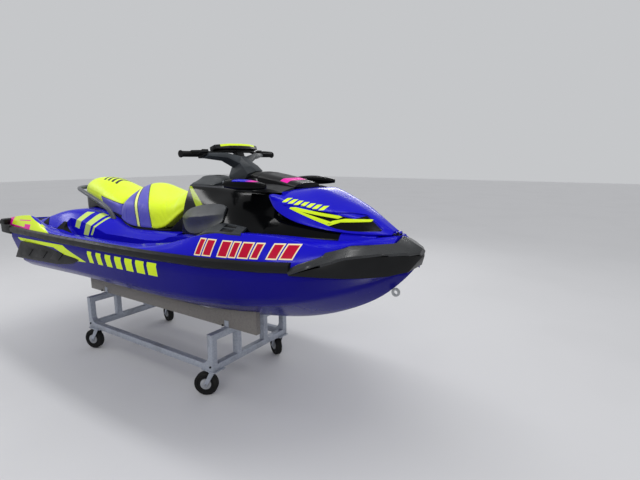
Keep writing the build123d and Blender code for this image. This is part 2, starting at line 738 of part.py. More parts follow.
gate_low = GATE_PARK - GATE_HALF_ANGLE
gate_high = GATE_PARK + GATE_HALF_ANGLE
with BuildPart() as reverse_gate:
    with BuildSketch(Plane.XZ.offset(-GATE_ARM_Y)):
        with BuildLine():
            Polyline(on_gate(0, 0), on_gate(GATE_R + GATE_T, gate_low))
            ThreePointArc(on_gate(GATE_R + GATE_T, gate_low), on_gate(GATE_R + GATE_T, GATE_PARK),
                          on_gate(GATE_R + GATE_T, gate_high))
            Polyline(on_gate(GATE_R + GATE_T, gate_high), on_gate(GATE_R / 2, GATE_PARK + 5), on_gate(0, 0))
        make_face()
        with Locations(on_gate(0, 0)):
            Circle(GATE_PIN_R + 9)
            Circle(GATE_PIN_R + FIT, mode=Mode.SUBTRACT)
    extrude(amount=GATE_ARM_T)
    mirror(about=Plane.XZ)
    with BuildSketch(Plane.XZ.offset(-GATE_ARM_Y)):
        with BuildLine():
            Line(on_gate(GATE_R, gate_low), on_gate(GATE_R + GATE_T, gate_low))
            ThreePointArc(on_gate(GATE_R + GATE_T, gate_low), on_gate(GATE_R + GATE_T, GATE_PARK),
                          on_gate(GATE_R + GATE_T, gate_high))
            Line(on_gate(GATE_R + GATE_T, gate_high), on_gate(GATE_R, gate_high))
            ThreePointArc(on_gate(GATE_R, gate_high), on_gate(GATE_R, GATE_PARK), on_gate(GATE_R, gate_low))
        make_face()
    extrude(amount=2 * GATE_ARM_Y)
reverse_gate.part.label = "reverse_gate"

# Engine, one plain block standing on the bay's floor
with BuildPart() as engine_block:
    block((ENGINE_X - ENGINE_L / 2, -ENGINE_W / 2, ENGINE_Z), (ENGINE_X + ENGINE_L / 2, ENGINE_W / 2, ENGINE_Z + ENGINE_H))
engine_block.part.label = "engine_block"

# Steering axis, raked back, with x forward and z up along it
rake = math.radians(STEER_RAKE)
steer = Plane(origin=(STEER_X, 0, STEER_Z), x_dir=(math.cos(rake), 0, math.sin(rake)),
              z_dir=(-math.sin(rake), 0, math.cos(rake)))


def console_side(x, z):
    """Half width of the console's side at a height."""
    share = x / HALF_L
    for (a, fa, sa, za, _, _), (b, fb, sb, zb, _, _) in zip(CONSOLE, CONSOLE[1:]):
        if share <= b:
            t = (share - a) / (b - a)
            foot, side, top = fa + (fb - fa) * t, sa + (sb - sa) * t, za + (zb - za) * t
            up = (z - plateau(share)) / (top - plateau(share))
            return foot + (side - foot) * up
    return CONSOLE[-1][1]


# Console, with the glovebox, the lid's hinge pin and the steering boss
with BuildPart() as console:
    add(lofted([(along(s), [(0, plateau(s)), (fy, plateau(s)), (sy, sz), (ty, tz), (0, tz)])
                for s, fy, sy, sz, ty, tz in CONSOLE]))
    block(bin_low, bin_high, Mode.SUBTRACT)
    ledge_z = CONSOLE_TOP_Z - GLOVE_SUNK
    block((GLOVE_REAR_X, -GLOVE_HALF_W, ledge_z), (GLOVE_FRONT_X, GLOVE_HALF_W, ledge_z + 50), Mode.SUBTRACT)
    block((GLOVE_REAR_X + GLOVE_LEDGE, -GLOVE_HALF_W + GLOVE_LEDGE, ledge_z - GLOVE_DEPTH),
          (GLOVE_FRONT_X - 1.5 * GLOVE_LEDGE, GLOVE_HALF_W - GLOVE_LEDGE, ledge_z), Mode.SUBTRACT)
    hinge_z = ledge_z + LID_HINGE_R + 1
    both_sides((GLOVE_HINGE_X - 4, 97, ledge_z - 1), (GLOVE_HINGE_X + 4, 103, hinge_z + 3))
    with BuildSketch(Plane.XZ.offset(-103)):
        with Locations((GLOVE_HINGE_X, hinge_z)):
            Circle(LID_PIN_R)
    extrude(amount=206)
    with BuildSketch(steer.offset(-40)):
        Circle(STEER_BASE_R)
    extrude(amount=40 + STEER_BOSS_UP)
    with BuildSketch(steer.offset(-STEER_SHAFT_L + STEER_BOSS_UP)):
        Circle(STEER_SHAFT_R + FIT)
    extrude(amount=STEER_SHAFT_L, mode=Mode.SUBTRACT)
    add(deck.part, mode=Mode.SUBTRACT)
console.part.label = "console"

# Glovebox lid with its hinge barrels
with BuildPart() as glovebox_lid:
    half = GLOVE_HALF_W - GLOVE_EDGE
    block((GLOVE_REAR_X + GLOVE_EDGE, -half, ledge_z), (GLOVE_HINGE_X - LID_HINGE_R, half, ledge_z + GLOVE_LID_T))
    for side in (1, -1):
        with BuildSketch(Plane.XZ.offset(-82.5 * side - 12.5)):
            with Locations((GLOVE_HINGE_X, hinge_z)):
                Circle(LID_HINGE_R - 1)
            with Locations((GLOVE_HINGE_X - LID_HINGE_R / 2 - 2, hinge_z)):
                Rectangle(LID_HINGE_R, 6)
            with Locations((GLOVE_HINGE_X, hinge_z)):
                Circle(LID_PIN_R + FIT, mode=Mode.SUBTRACT)
        extrude(amount=25)
glovebox_lid.part.label = "glovebox_lid"

# Open bin under the storage lid
with BuildPart() as storage_bin:
    block(bin_low, (BIN_FRONT_X, BIN_HALF_W, BIN_RIM_Z))
    block((BIN_REAR_X + BIN_WALL, -BIN_HALF_W + BIN_WALL, BIN_FLOOR_Z + BIN_WALL),
          (BIN_FRONT_X - BIN_WALL, BIN_HALF_W - BIN_WALL, BIN_RIM_Z), Mode.SUBTRACT)
storage_bin.part.label = "storage_bin"

# Knee panels on the console's sides: x, heights of the lower and of the upper edge
KNEE = ((315, 1066, 1084), (370, 1000, 1135), (410, 998, 1146), (535, 1034, 1164), (640, 1122, 1174),
        (735, 1172, 1181))
with BuildPart() as knee_panels:
    for side in (1, -1):
        for x, low, high in KNEE:
            with BuildSketch(Plane.YZ.offset(x)):
                with BuildLine():
                    y_low, y_high = console_side(x, low), console_side(x, high)
                    Polyline(((y_low - 20) * side, low), ((y_low + KNEE_T) * side, low),
                             ((y_high + KNEE_T) * side, high), ((y_high - 20) * side, high), close=True)
                make_face()
        loft(ruled=True)
    add(console.part, mode=Mode.SUBTRACT)
    add(deck.part, mode=Mode.SUBTRACT)
knee_panels.part.label = "knee_panels"

# Slotted vent panels on the deck beside the console
VENT = ((765, 436, 516), (950, 420, 488))
with BuildPart() as vent_panels:
    for side in (1, -1):
        for x, y_in, y_out in VENT:
            share = x / HALF_L
            with BuildSketch(Plane.YZ.offset(x)):
                with BuildLine():
                    z = plateau(share)
                    Polyline((y_in * side, z - 8), (y_in * side, z + VENT_T), (y_out * side, z + VENT_T + VENT_RISE),
                             (y_out * side, z - 8), close=True)
                make_face()
        loft(ruled=True)
    both_sides((800, 445, 1000), (836, 480, 1200), Mode.SUBTRACT)
    both_sides((850, 442, 1000), (905, 478, 1200), Mode.SUBTRACT)
    add(deck.part, mode=Mode.SUBTRACT)
vent_panels.part.label = "vent_panels"


# Storage lid, a skin that opens forward
def lid_stations(inset, rows):
    return [(x, [(0, fz - 2 * inset), (fy - inset, fz - 2 * inset), (fy - inset, fz), (sy - inset, sz - inset / 2),
                 (cy - inset / 2, cz - inset), (0, cz - inset)]) for x, fy, fz, sy, sz, cy, cz in rows]


with BuildPart() as hood_lid:
    add(lofted([(x, [(0, fz), (fy, fz), (sy, sz), (cy, cz), (0, cz)]) for x, fy, fz, sy, sz, cy, cz in LID]))
    add(lofted(lid_stations(LID_SKIN, LID[:-1])), mode=Mode.SUBTRACT)
    block((LID[0][0] - 5, -COWL_HALF_W - 10, 1200), (COWL_FRONT_X, COWL_HALF_W + 10, 1400), Mode.SUBTRACT)
    block((COWL_FRONT_X, -COWL_HALF_W, COWL_SEAT_Z - 26), (COWL_FRONT_X + LID_SKIN, COWL_HALF_W, COWL_SEAT_Z + 12))
    block((LID[-1][0] - 8, -18, LID_HINGE_Z - 4), (LID_HINGE_X, 18, LID_HINGE_Z + 4))
    with BuildSketch(Plane.XZ.offset(-18)):
        with Locations((LID_HINGE_X, LID_HINGE_Z)):
            Circle(LID_HINGE_R)
    extrude(amount=36)
    with BuildSketch(Plane.XZ.offset(-18)):
        with Locations((LID_HINGE_X, LID_HINGE_Z)):
            Circle(LID_PIN_R + FIT)
    extrude(amount=36, mode=Mode.SUBTRACT)
hood_lid.part.label = "hood_lid"

# Hinge posts and pin of the storage lid, on the nose
with BuildPart() as lid_hinge:
    block((LID_HINGE_X - 10, -26, LID_HINGE_Z - 30), (LID_HINGE_X + 10, 26, LID_HINGE_Z - LID_HINGE_R - 5))
    with BuildSketch(Plane.XZ.offset(-24)):
        with Locations((LID_HINGE_X, LID_HINGE_Z)):
            Circle(6)
        with Locations((LID_HINGE_X, LID_HINGE_Z - 8)):
            Rectangle(12, 16)
    extrude(amount=48)
    block((LID_HINGE_X - 12, -18 - RACE_GAP, LID_HINGE_Z - LID_HINGE_R - 5), (LID_HINGE_X + 12, 18 + RACE_GAP, 1100),
          Mode.SUBTRACT)
    with BuildSketch(Plane.XZ.offset(-24)):
        with Locations((LID_HINGE_X, LID_HINGE_Z)):
            Circle(LID_PIN_R)
    extrude(amount=48)
    add(bow_bumper.part, mode=Mode.SUBTRACT)
    add(deck.part, mode=Mode.SUBTRACT)
lid_hinge.part.label = "lid_hinge"

# Dash cowl, visor and gauge, all carried by the storage lid: x, half width, underside, shoulder, top
COWL = (
    # x, foot_y, foot_z, shoulder_y, shoulder_z, top_y, top_z
    (COWL_REAR_X, 150, COWL_SEAT_Z + COWL_LIFT, 145, 1300, 100, 1308),
    (800, 225, COWL_SEAT_Z + COWL_LIFT, 215, 1300, 150, COWL_TOP_Z),
    (900, COWL_HALF_W, COWL_SEAT_Z + COWL_LIFT, 228, 1300, 160, COWL_TOP_Z),
    (COWL_FRONT_X, COWL_HALF_W, COWL_SEAT_Z + COWL_LIFT, 228, 1280, 150, COWL_TOP_Z - 16),
)
VISOR = (
    # x, foot_y, foot_z, shoulder_y, shoulder_z, top_y, top_z
    (VISOR_REAR_X, 118, 1350, 118, 1360, 70, 1375),
    (COWL_REAR_X + 15, 128, 1335, 126, 1350, 76, 1371),
    (COWL_REAR_X + 16, 128, 1290, 126, 1349, 76, 1370),
    (880, 138, 1290, 128, 1334, 80, 1352),
    (COWL_FRONT_X, 130, 1285, 122, 1300, 80, 1316),
)
with BuildPart() as dash_cowl:
    add(lofted(seven_point(COWL)))
dash_cowl.part.label = "dash_cowl"

with BuildPart() as visor:
    add(lofted(seven_point(VISOR)))
    add(dash_cowl.part, mode=Mode.SUBTRACT)
visor.part.label = "visor"

with BuildPart() as gauge:
    block((COWL_REAR_X + 15 - GAUGE_T, -GAUGE_W / 2, COWL_TOP_Z - 3), (COWL_REAR_X + 15, GAUGE_W / 2, COWL_TOP_Z + 24))
    add(visor.part, mode=Mode.SUBTRACT)
    add(dash_cowl.part, mode=Mode.SUBTRACT)
gauge.part.label = "gauge"

# Mirror pods: x, half width, lower and upper height
POD = (
    # x, half_w, low_z, high_z
    (POD_REAR_X, 40, 1293, 1338),
    (POD_REAR_X + 70, 46, 1286, 1347),
    (POD_REAR_X + 170, 40, 1285, 1345),
    (POD_REAR_X + 268, 8, 1300, 1324),
)
with BuildPart() as mirror_pods:
    for side in (1, -1):
        for x, half_w, low, high in POD:
            with BuildSketch(Plane.YZ.offset(x)):
                with Locations((POD_Y * side, (low + high) / 2)):
                    RectangleRounded(2 * half_w, high - low, 7.5)
        loft(ruled=True)
        block((790, min(200 * side, 310 * side), 1288), (905, max(200 * side, 310 * side), 1306))
    add(dash_cowl.part, mode=Mode.SUBTRACT)
mirror_pods.part.label = "mirror_pods"

with BuildPart() as mirror_glasses:
    both_sides((POD_REAR_X - GLASS_T, POD_Y - 34, 1297), (POD_REAR_X, POD_Y + 34, 1334))
mirror_glasses.part.label = "mirror_glasses"

# Steering neck on its shaft: height along the axis, reach back and forward, half width
NECK = (
    # up, back, front, half_w
    (STEER_BOSS_UP + RUN_GAP, -56, 58, 46),
    (38, -88, 126, 56),
    (82, -100, 97, 60),
    (134, -54, 50, 50),
    (168, -40, 30, 44),
)
ARMS = (
    # out, back, front, low, high
    (30, -36, 36, 108, 166),
    (130, -34, 24, 160, 192),
    (ARM_REACH, -58, -10, 184, 202),
)
with BuildPart() as steering_neck:
    for up, back, front, half_w in NECK:
        with BuildSketch(steer.offset(up)):
            with BuildLine():
                Polyline((back, -half_w * 0.6), (front * 0.6, -half_w), (front, -half_w * 0.5), (front, half_w * 0.5),
                         (front * 0.6, half_w), (back, half_w * 0.6), close=True)
            make_face()
    loft(ruled=True)
    for side in (1, -1):
        for out, back, front, low, high in ARMS:
            with BuildSketch(Plane(origin=steer.origin + Vector(0, out * side, 0), x_dir=steer.x_dir, z_dir=(0, 1, 0))):
                with BuildLine():
                    Polyline((back, -low), (front, -low), (front, -high), (back, -high), close=True)
                make_face()
        loft(ruled=True)
    with BuildSketch(steer.offset(STEER_BOSS_UP - STEER_SHAFT_L + 4)):
        Circle(STEER_SHAFT_R)
    extrude(amount=STEER_SHAFT_L + 10)
steering_neck.part.label = "steering_neck"

# Handlebar tube, its pad, levers and grips
BAR_LINE = ((-BAR_SWEEP, BAR_HALF), (-BAR_SWEEP, BAR_HALF - GRIP_L - 20), (0, 110))
bar_points = [steer.from_local_coords((u, y, BAR_RISE)) for u, y in BAR_LINE]
bar_points += [steer.from_local_coords((u, -y, BAR_RISE)) for u, y in reversed(BAR_LINE)]
with BuildPart() as handlebar:
    with BuildLine() as bar_line:
        Polyline(*bar_points)
    with BuildSketch(Plane(origin=bar_line.line @ 0, z_dir=bar_line.line % 0)):
        Circle(BAR_R)
    sweep(path=bar_line.line, transition=Transition.ROUND)
    with BuildSketch(steer.offset(BAR_RISE - 46)):
        Rectangle(34, 60)
    extrude(amount=40)
    for side in (1, -1):
        with BuildSketch(steer.offset(BAR_RISE - 20)):
            with Locations((-BAR_SWEEP + 8, (BAR_HALF - GRIP_L - 30) * side)):
                Rectangle(54, 44)
        extrude(amount=38)
        with BuildSketch(steer.offset(BAR_RISE - 6)):
            with BuildLine():
                y = BAR_HALF - GRIP_L - 45
                Polyline((-45, y * side), (-18, y * side), (-6, (y + 30) * side), (-14, (y + 130) * side),
                         (-26, (y + 130) * side), (-22, (y + 34) * side), (-45, (y + 20) * side), close=True)
            make_face()
        extrude(amount=12)
    add(steering_neck.part, mode=Mode.SUBTRACT)
handlebar.part.label = "handlebar"

with BuildPart() as bar_pad:
    for y, back, front, low in ((-PAD_HALF, -46, 4, 12), (-90, -40, 36, 4), (0, -40, 42, 0), (90, -40, 36, 4),
                                (PAD_HALF, -46, 4, 12)):
        with BuildSketch(Plane(origin=steer.origin + Vector(0, y, 0), x_dir=steer.x_dir, z_dir=(0, 1, 0))):
            with BuildLine():
                base = BAR_RISE + low
                Polyline((back, -base), (front, -base), (front * 0.8, -BAR_RISE - PAD_UP), (back * 0.9, -BAR_RISE - PAD_UP),
                         close=True)
            make_face()
    loft(ruled=True)
    add(handlebar.part, mode=Mode.SUBTRACT)
bar_pad.part.label = "bar_pad"

with BuildPart() as grips:
    for side in (1, -1):
        end = steer.from_local_coords((-BAR_SWEEP, (BAR_HALF + 6) * side, BAR_RISE))
        with BuildSketch(Plane(origin=end, z_dir=(0, -side, 0))):
            Circle(GRIP_R)
        extrude(amount=GRIP_L)
        with BuildSketch(Plane(origin=end, z_dir=(0, -side, 0))):
            Circle(GRIP_R + 4)
        extrude(amount=6)
    add(handlebar.part, mode=Mode.SUBTRACT)
grips.part.label = "grips"


# Tow eyes, one at the stem and two on the transom
def eye(x, y, z):
    with BuildSketch(Plane.XZ.offset(-y - EYE_T / 2)) as ring:
        with Locations((x, z)):
            Circle(EYE_R + EYE_WALL)
            Circle(EYE_R, mode=Mode.SUBTRACT)
    return ring.sketch


with BuildPart() as bow_eye:
    extrude(eye(BOW_EYE_X, 0, BOW_EYE_Z), amount=EYE_T)
    add(hull.part, mode=Mode.SUBTRACT)
bow_eye.part.label = "bow_eye"

with BuildPart() as stern_eyes:
    for side in (1, -1):
        extrude(eye(TRANSOM_X - EYE_R - EYE_WALL + 3, STERN_EYE_Y * side, STERN_EYE_Z), amount=EYE_T)
    add(hull.part, mode=Mode.SUBTRACT)
stern_eyes.part.label = "stern_eyes"

# Trolley frame: bent side tubes, cross members, arms and inner posts
low_x, high_x = FRAME_REAR_X - TUBE / 2, FRAME_FRONT_X + TUBE / 2
with BuildPart() as trolley_frame:
    with BuildSketch(Plane.XZ.offset(-TRACK_HALF - TUBE / 2)):
        with BuildLine():
            Polyline((low_x, ARM_TOP_Z), (low_x, FRAME_Z), (high_x, FRAME_Z), (high_x, ARM_TOP_Z),
                     (high_x - TUBE, ARM_TOP_Z))
            FilletPolyline((high_x - TUBE, ARM_TOP_Z), (high_x - TUBE, FRAME_Z + TUBE), (low_x + TUBE, FRAME_Z + TUBE),
                           (low_x + TUBE, ARM_TOP_Z), radius=BEND_R)
            Line((low_x + TUBE, ARM_TOP_Z), (low_x, ARM_TOP_Z))
        make_face()
    extrude(amount=TUBE)
    mirror(about=Plane.XZ)
    for x in (FRAME_REAR_X, FRAME_FRONT_X):
        block((x - TUBE / 2, -TRACK_HALF, FRAME_Z), (x + TUBE / 2, TRACK_HALF, FRAME_Z + TUBE))
        both_sides((x - TUBE / 2, ARM_IN_Y - TUBE / 2, ARM_TOP_Z - TUBE), (x + TUBE / 2, TRACK_HALF, ARM_TOP_Z))
        both_sides((x - TUBE / 2, ARM_IN_Y - TUBE / 2, FRAME_Z), (x + TUBE / 2, ARM_IN_Y + TUBE / 2, ARM_TOP_Z))
        both_sides((x - 18, BUNK_Y + BUNK_W / 2, ARM_TOP_Z), (x + 18, BUNK_Y + BUNK_W / 2 + 34, ARM_TOP_Z + 4))
        both_sides((x - 18, BUNK_Y + BUNK_W / 2, ARM_TOP_Z), (x + 18, BUNK_Y + BUNK_W / 2 + 4, ARM_TOP_Z + 44))
trolley_frame.part.label = "trolley_frame"

with BuildPart() as bunks:
    both_sides((BUNK_REAR_X, BUNK_Y - BUNK_W / 2, ARM_TOP_Z), (BUNK_FRONT_X, BUNK_Y + BUNK_W / 2, BUNK_TOP_Z))
    add(hull.part, mode=Mode.SUBTRACT)
    block(bay_low, bay_high, Mode.SUBTRACT)
bunks.part.label = "bunks"

# Casters: name, kingpin place and yaw of the trail
CASTERS = (
    ("front_right", 530, -320, 30), ("front_left", 530, 320, -30),
    ("rear_right", -720, -330, 17), ("rear_left", -720, 330, -17),
)
plate_low = FRAME_Z - PLATE_T
with BuildPart() as caster_plates:
    for corner, x, y, yaw in CASTERS:
        with BuildSketch(Plane.XY.offset(plate_low)):
            with Locations((x, y)):
                Rectangle(PLATE_L, PLATE_W)
        extrude(amount=PLATE_T)
        with BuildSketch(Plane.XY.offset(FORK_TOP_Z + RACE_GAP)):
            with Locations((x, y)):
                Circle(RACE_R)
        extrude(amount=plate_low - FORK_TOP_Z - RACE_GAP)
        with BuildSketch(Plane.XY.offset(FORK_TOP_Z - 10)):
            with Locations((x, y)):
                Circle(KINGPIN_R)
        extrude(amount=12)
caster_plates.part.label = "caster_plates"

# One fork and one wheel, kingpin on the Z axis and trailing aft, then copies at the corners
leg_y = WHEEL_W / 2 + FORK_SIDE_GAP
with BuildPart() as fork:
    with BuildSketch(Plane.XY.offset(FORK_TOP_Z - 5)):
        Circle(FORK_DISC_R)
        Circle(KINGPIN_R + FIT, mode=Mode.SUBTRACT)
    extrude(amount=5)
    with BuildSketch(Plane.XZ.offset(-leg_y - FORK_T)):
        with BuildLine():
            Polyline((-FORK_LEG_HALF, FORK_TOP_Z - 1), (FORK_LEG_HALF, FORK_TOP_Z - 1), (-TRAIL + 12, WHEEL_R - 6),
                     (-TRAIL - 12, WHEEL_R - 6), close=True)
        make_face()
        with Locations((-TRAIL, WHEEL_R)):
            Circle(AXLE_R + 8)
    extrude(amount=FORK_T)
    mirror(about=Plane.XZ)
    with BuildSketch(Plane.XZ.offset(-leg_y - FORK_T - 3)):
        with Locations((-TRAIL, WHEEL_R)):
            Circle(AXLE_R)
    extrude(amount=2 * (leg_y + FORK_T + 3))

with BuildPart() as wheel:
    with BuildSketch(Plane.XZ):
        with BuildLine():
            Polyline((AXLE_R + FIT, -WHEEL_W / 2), (20, -WHEEL_W / 2), (26, -WHEEL_W / 2 + 7), (50, -WHEEL_W / 2 + 7),
                     (54, -WHEEL_W / 2), (WHEEL_R - 6, -WHEEL_W / 2), (WHEEL_R, -WHEEL_W / 2 + 8),
                     (WHEEL_R, WHEEL_W / 2 - 8), (WHEEL_R - 6, WHEEL_W / 2), (54, WHEEL_W / 2),
                     (50, WHEEL_W / 2 - 7), (26, WHEEL_W / 2 - 7), (20, WHEEL_W / 2), (AXLE_R + FIT, WHEEL_W / 2),
                     close=True)
        make_face()
    revolve(axis=Axis.Z)
wheel_upright = wheel.part.moved(Location((-TRAIL, 0, WHEEL_R), (90, 0, 0)))

os.makedirs("parts", exist_ok=True)
export_step(hull.part, "parts/hull.step")
export_step(deck.part, "parts/deck.step")
export_step(side_rails.part, "parts/side_rails.step")
export_step(bow_bumper.part, "parts/bow_bumper.step")
export_step(bow_skirt.part, "parts/bow_skirt.step")
export_step(stern_bumper.part, "parts/stern_bumper.step")
export_step(deck_mats.part, "parts/deck_mats.step")
export_step(sponsons.part, "parts/sponsons.step")
export_step(ride_plate.part, "parts/ride_plate.step")
export_step(intake_grate.part, "parts/intake_grate.step")
export_step(jet_pump.part, "parts/jet_pump.step")
export_step(impeller.part, "parts/impeller.step")
export_step(steering_nozzle.part, "parts/steering_nozzle.step")
export_step(reverse_gate.part, "parts/reverse_gate.step")
export_step(engine_block.part, "parts/engine_block.step")
export_step(seat_base.part, "parts/seat_base.step")
export_step(seat_front.part, "parts/seat_front.step")
export_step(seat_rear.part, "parts/seat_rear.step")
export_step(grab_handle.part, "parts/grab_handle.step")
export_step(console.part, "parts/console.step")
export_step(knee_panels.part, "parts/knee_panels.step")
export_step(vent_panels.part, "parts/vent_panels.step")
export_step(glovebox_lid.part, "parts/glovebox_lid.step")
export_step(storage_bin.part, "parts/storage_bin.step")
export_step(hood_lid.part, "parts/hood_lid.step")
export_step(lid_hinge.part, "parts/lid_hinge.step")
export_step(dash_cowl.part, "parts/dash_cowl.step")
export_step(visor.part, "parts/visor.step")
export_step(gauge.part, "parts/gauge.step")
export_step(mirror_pods.part, "parts/mirror_pods.step")
export_step(mirror_glasses.part, "parts/mirror_glasses.step")
export_step(steering_neck.part, "parts/steering_neck.step")
export_step(handlebar.part, "parts/handlebar.step")
export_step(bar_pad.part, "parts/bar_pad.step")
export_step(grips.part, "parts/grips.step")
export_step(bow_eye.part, "parts/bow_eye.step")
export_step(stern_eyes.part, "parts/stern_eyes.step")
export_step(trolley_frame.part, "parts/trolley_frame.step")
export_step(bunks.part, "parts/bunks.step")
export_step(caster_plates.part, "parts/caster_plates.step")
for corner, x, y, yaw in CASTERS:
    place = Location((x, y, 0), (0, 0, yaw))
    for label, shape in ((f"caster_fork_{corner}", fork.part), (f"caster_wheel_{corner}", wheel_upright)):
        turned = shape.moved(place)
        turned.label = label
        export_step(turned, f"parts/{label}.step")
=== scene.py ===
import bpy
import json
import math
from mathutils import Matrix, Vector

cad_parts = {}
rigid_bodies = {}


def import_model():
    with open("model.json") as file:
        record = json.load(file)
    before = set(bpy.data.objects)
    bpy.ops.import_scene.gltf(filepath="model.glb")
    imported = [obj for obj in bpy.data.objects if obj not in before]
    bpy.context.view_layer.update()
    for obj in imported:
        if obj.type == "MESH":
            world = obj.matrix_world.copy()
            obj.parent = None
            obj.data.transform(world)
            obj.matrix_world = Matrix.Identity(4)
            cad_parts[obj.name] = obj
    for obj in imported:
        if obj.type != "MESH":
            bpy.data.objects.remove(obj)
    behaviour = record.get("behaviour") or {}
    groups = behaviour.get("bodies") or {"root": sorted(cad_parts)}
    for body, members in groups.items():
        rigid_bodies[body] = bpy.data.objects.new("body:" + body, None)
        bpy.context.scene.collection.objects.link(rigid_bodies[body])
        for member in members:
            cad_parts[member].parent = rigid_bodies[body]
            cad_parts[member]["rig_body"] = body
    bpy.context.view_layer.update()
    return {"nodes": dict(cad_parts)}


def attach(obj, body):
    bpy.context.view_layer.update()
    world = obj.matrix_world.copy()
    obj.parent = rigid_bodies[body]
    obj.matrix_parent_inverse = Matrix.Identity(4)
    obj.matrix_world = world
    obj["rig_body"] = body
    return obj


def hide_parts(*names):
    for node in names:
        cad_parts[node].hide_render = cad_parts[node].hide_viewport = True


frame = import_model()

# Personal watercraft on its workshop trolley, in metres. +X to the bow, +Y to port, floor at z 0.

nodes = frame["nodes"]
scene = bpy.context.scene

HALF_L = 1.725
HALF_B = 0.6275
KEEL_Z = 0.4
MERGE = 0.00002
PATCH_T = 0.006
# Share of the half length, share of the half beam
PLAN = ((-1.0, 0.86), (-0.696, 0.916), (-0.348, 0.972), (0.0, 1.0), (0.232, 0.996), (0.464, 0.956),
        (0.638, 0.853), (0.783, 0.685), (0.899, 0.462), (0.974, 0.223), (1.0, 0.03))


def between(table, key, column):
    """Straight-line value of a column at a key."""
    for low, high in zip(table, table[1:]):
        if key <= high[0]:
            share = max(0.0, (key - low[0]) / (high[0] - low[0]))
            return low[column] + (high[column] - low[column]) * share
    return table[-1][column]


def half_beam(x):
    return HALF_B * between(PLAN, x / HALF_L, 1)


def bond(x):
    """Height of the seam between hull and deck."""
    return 0.922 + 0.0155 * x


def section(x, *points):
    """Points of a section on the right side, given as distance from the middle plane and height."""
    return [(x, -out, up) for out, up in points]


def halfway(a, b, out=0.0, up=0.0):
    """The point midway between two points of a section, pushed out and up."""
    return (a[0] + b[0]) / 2 + out, (a[1] + b[1]) / 2 + up


# Selecting and editing

def only(piece):
    for other in bpy.context.selected_objects:
        other.select_set(False)
    piece.select_set(True)
    bpy.context.view_layer.objects.active = piece


def edit(piece):
    only(piece)
    bpy.ops.object.mode_set(mode="EDIT")
    bpy.ops.mesh.select_all(action="SELECT")


def done():
    bpy.ops.object.mode_set(mode="OBJECT")


def apply(piece, kind, **settings):
    only(piece)
    modifier = piece.modifiers.new(kind.lower(), kind)
    for name, value in settings.items():
        setattr(modifier, name, value)
    bpy.ops.object.modifier_apply(modifier=modifier.name)


def smooth(piece, angle=35):
    only(piece)
    bpy.ops.object.shade_smooth_by_angle(angle=math.radians(angle))


def settle(piece):
    """Puts the piece's place into its mesh."""
    only(piece)
    bpy.ops.object.transform_apply(location=True, rotation=True, scale=True)


def outward(piece):
    edit(piece)
    bpy.ops.mesh.remove_doubles(threshold=MERGE)
    bpy.ops.mesh.normals_make_consistent(inside=False)
    done()


def placed(name, data):
    made = bpy.data.objects.new(name, data)
    scene.collection.objects.link(made)
    return made


def named(piece, name):
    piece.name = piece.data.name = name
    return piece


def copied(piece, name):
    return named(placed(name, piece.data.copy()), name)


def joined(first, *others):
    only(first)
    for other in others:
        other.select_set(True)
    bpy.ops.object.join()
    return first


def mirrored(piece, clip=False):
    """Adds the left side, with the points on the middle plane merged where clip is set."""
    apply(piece, "MIRROR", use_axis=(False, True, False), use_clip=clip, use_mirror_merge=clip,
          merge_threshold=0.0005)


def rounded(piece, levels=2):
    apply(piece, "SUBSURF", levels=levels, render_levels=levels)


def bevelled(piece, width, segments=2, angle=30):
    apply(piece, "BEVEL", width=width, segments=segments, limit_method="ANGLE",
          angle_limit=math.radians(angle), use_clamp_overlap=True)


def swollen(piece, distance):
    """Moves every point out along its normal, or in where the distance is negative."""
    apply(piece, "DISPLACE", strength=distance, mid_level=0.0)


def cut(piece, cutter, operation="DIFFERENCE"):
    apply(piece, "BOOLEAN", object=cutter, operation=operation, solver="EXACT")
    bpy.data.objects.remove(cutter)


def mount(piece, body, slot, *replaced, finish=None):
    piece.data.materials.clear()
    piece.data.materials.append(FINISHES[finish or slot])
    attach(piece, body)
    if replaced:
        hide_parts(*replaced)


# Shapes that start from a primitive

def sheet_of_rows(name, rows, creases, ends, cross_creases=()):
    """A grid with a row of points at each section. Creases name sharp columns, cross creases sharp rows."""
    across, along = len(rows[0]) - 1, len(rows) - 1
    bpy.ops.mesh.primitive_grid_add(x_subdivisions=across, y_subdivisions=along, size=1)
    piece = named(bpy.context.object, name)
    for vertex in piece.data.vertices:
        column = round((vertex.co.x + 0.5) * across)
        row = round((vertex.co.y + 0.5) * along)
        vertex.co = rows[row][column]
    sharp, cross = dict(creases), dict(cross_creases)
    layer = piece.data.attributes.new("crease_edge", "FLOAT", "EDGE")
    for edge in piece.data.edges:
        a, b = (divmod(index, across + 1) for index in edge.vertices)
        if a[1] == b[1]:
            value = sharp.get(a[1], 0.0)
        else:
            value = ends if a[0] in (0, along) else cross.get(a[0], 0.0)
        layer.data[edge.index].value = value
    return piece


def closed(piece):
    """Fills the open ends and rounds the body."""
    edit(piece)
    bpy.ops.mesh.remove_doubles(threshold=MERGE)
    bpy.ops.mesh.select_all(action="DESELECT")
    bpy.ops.mesh.select_non_manifold()
    bpy.ops.mesh.fill_holes(sides=0)
    done()
    outward(piece)
    rounded(piece)
    smooth(piece)
    return piece


def body_of_rows(name, row_of, table, creases, ends=1.0, cross_creases=()):
    """A closed body through half sections that start and end on the middle plane."""
    piece = sheet_of_rows(name, [row_of(*row) for row in table], creases, ends, cross_creases)
    mirrored(piece, clip=True)
    return closed(piece)


def ring_of_rows(name, row_of, table, creases=(), ends=0.8):
    """A closed body through whole sections, each given as a ring of points."""
    rings = [row_of(*row) for row in table]
    return closed(sheet_of_rows(name, [ring + ring[:1] for ring in rings], creases, ends))


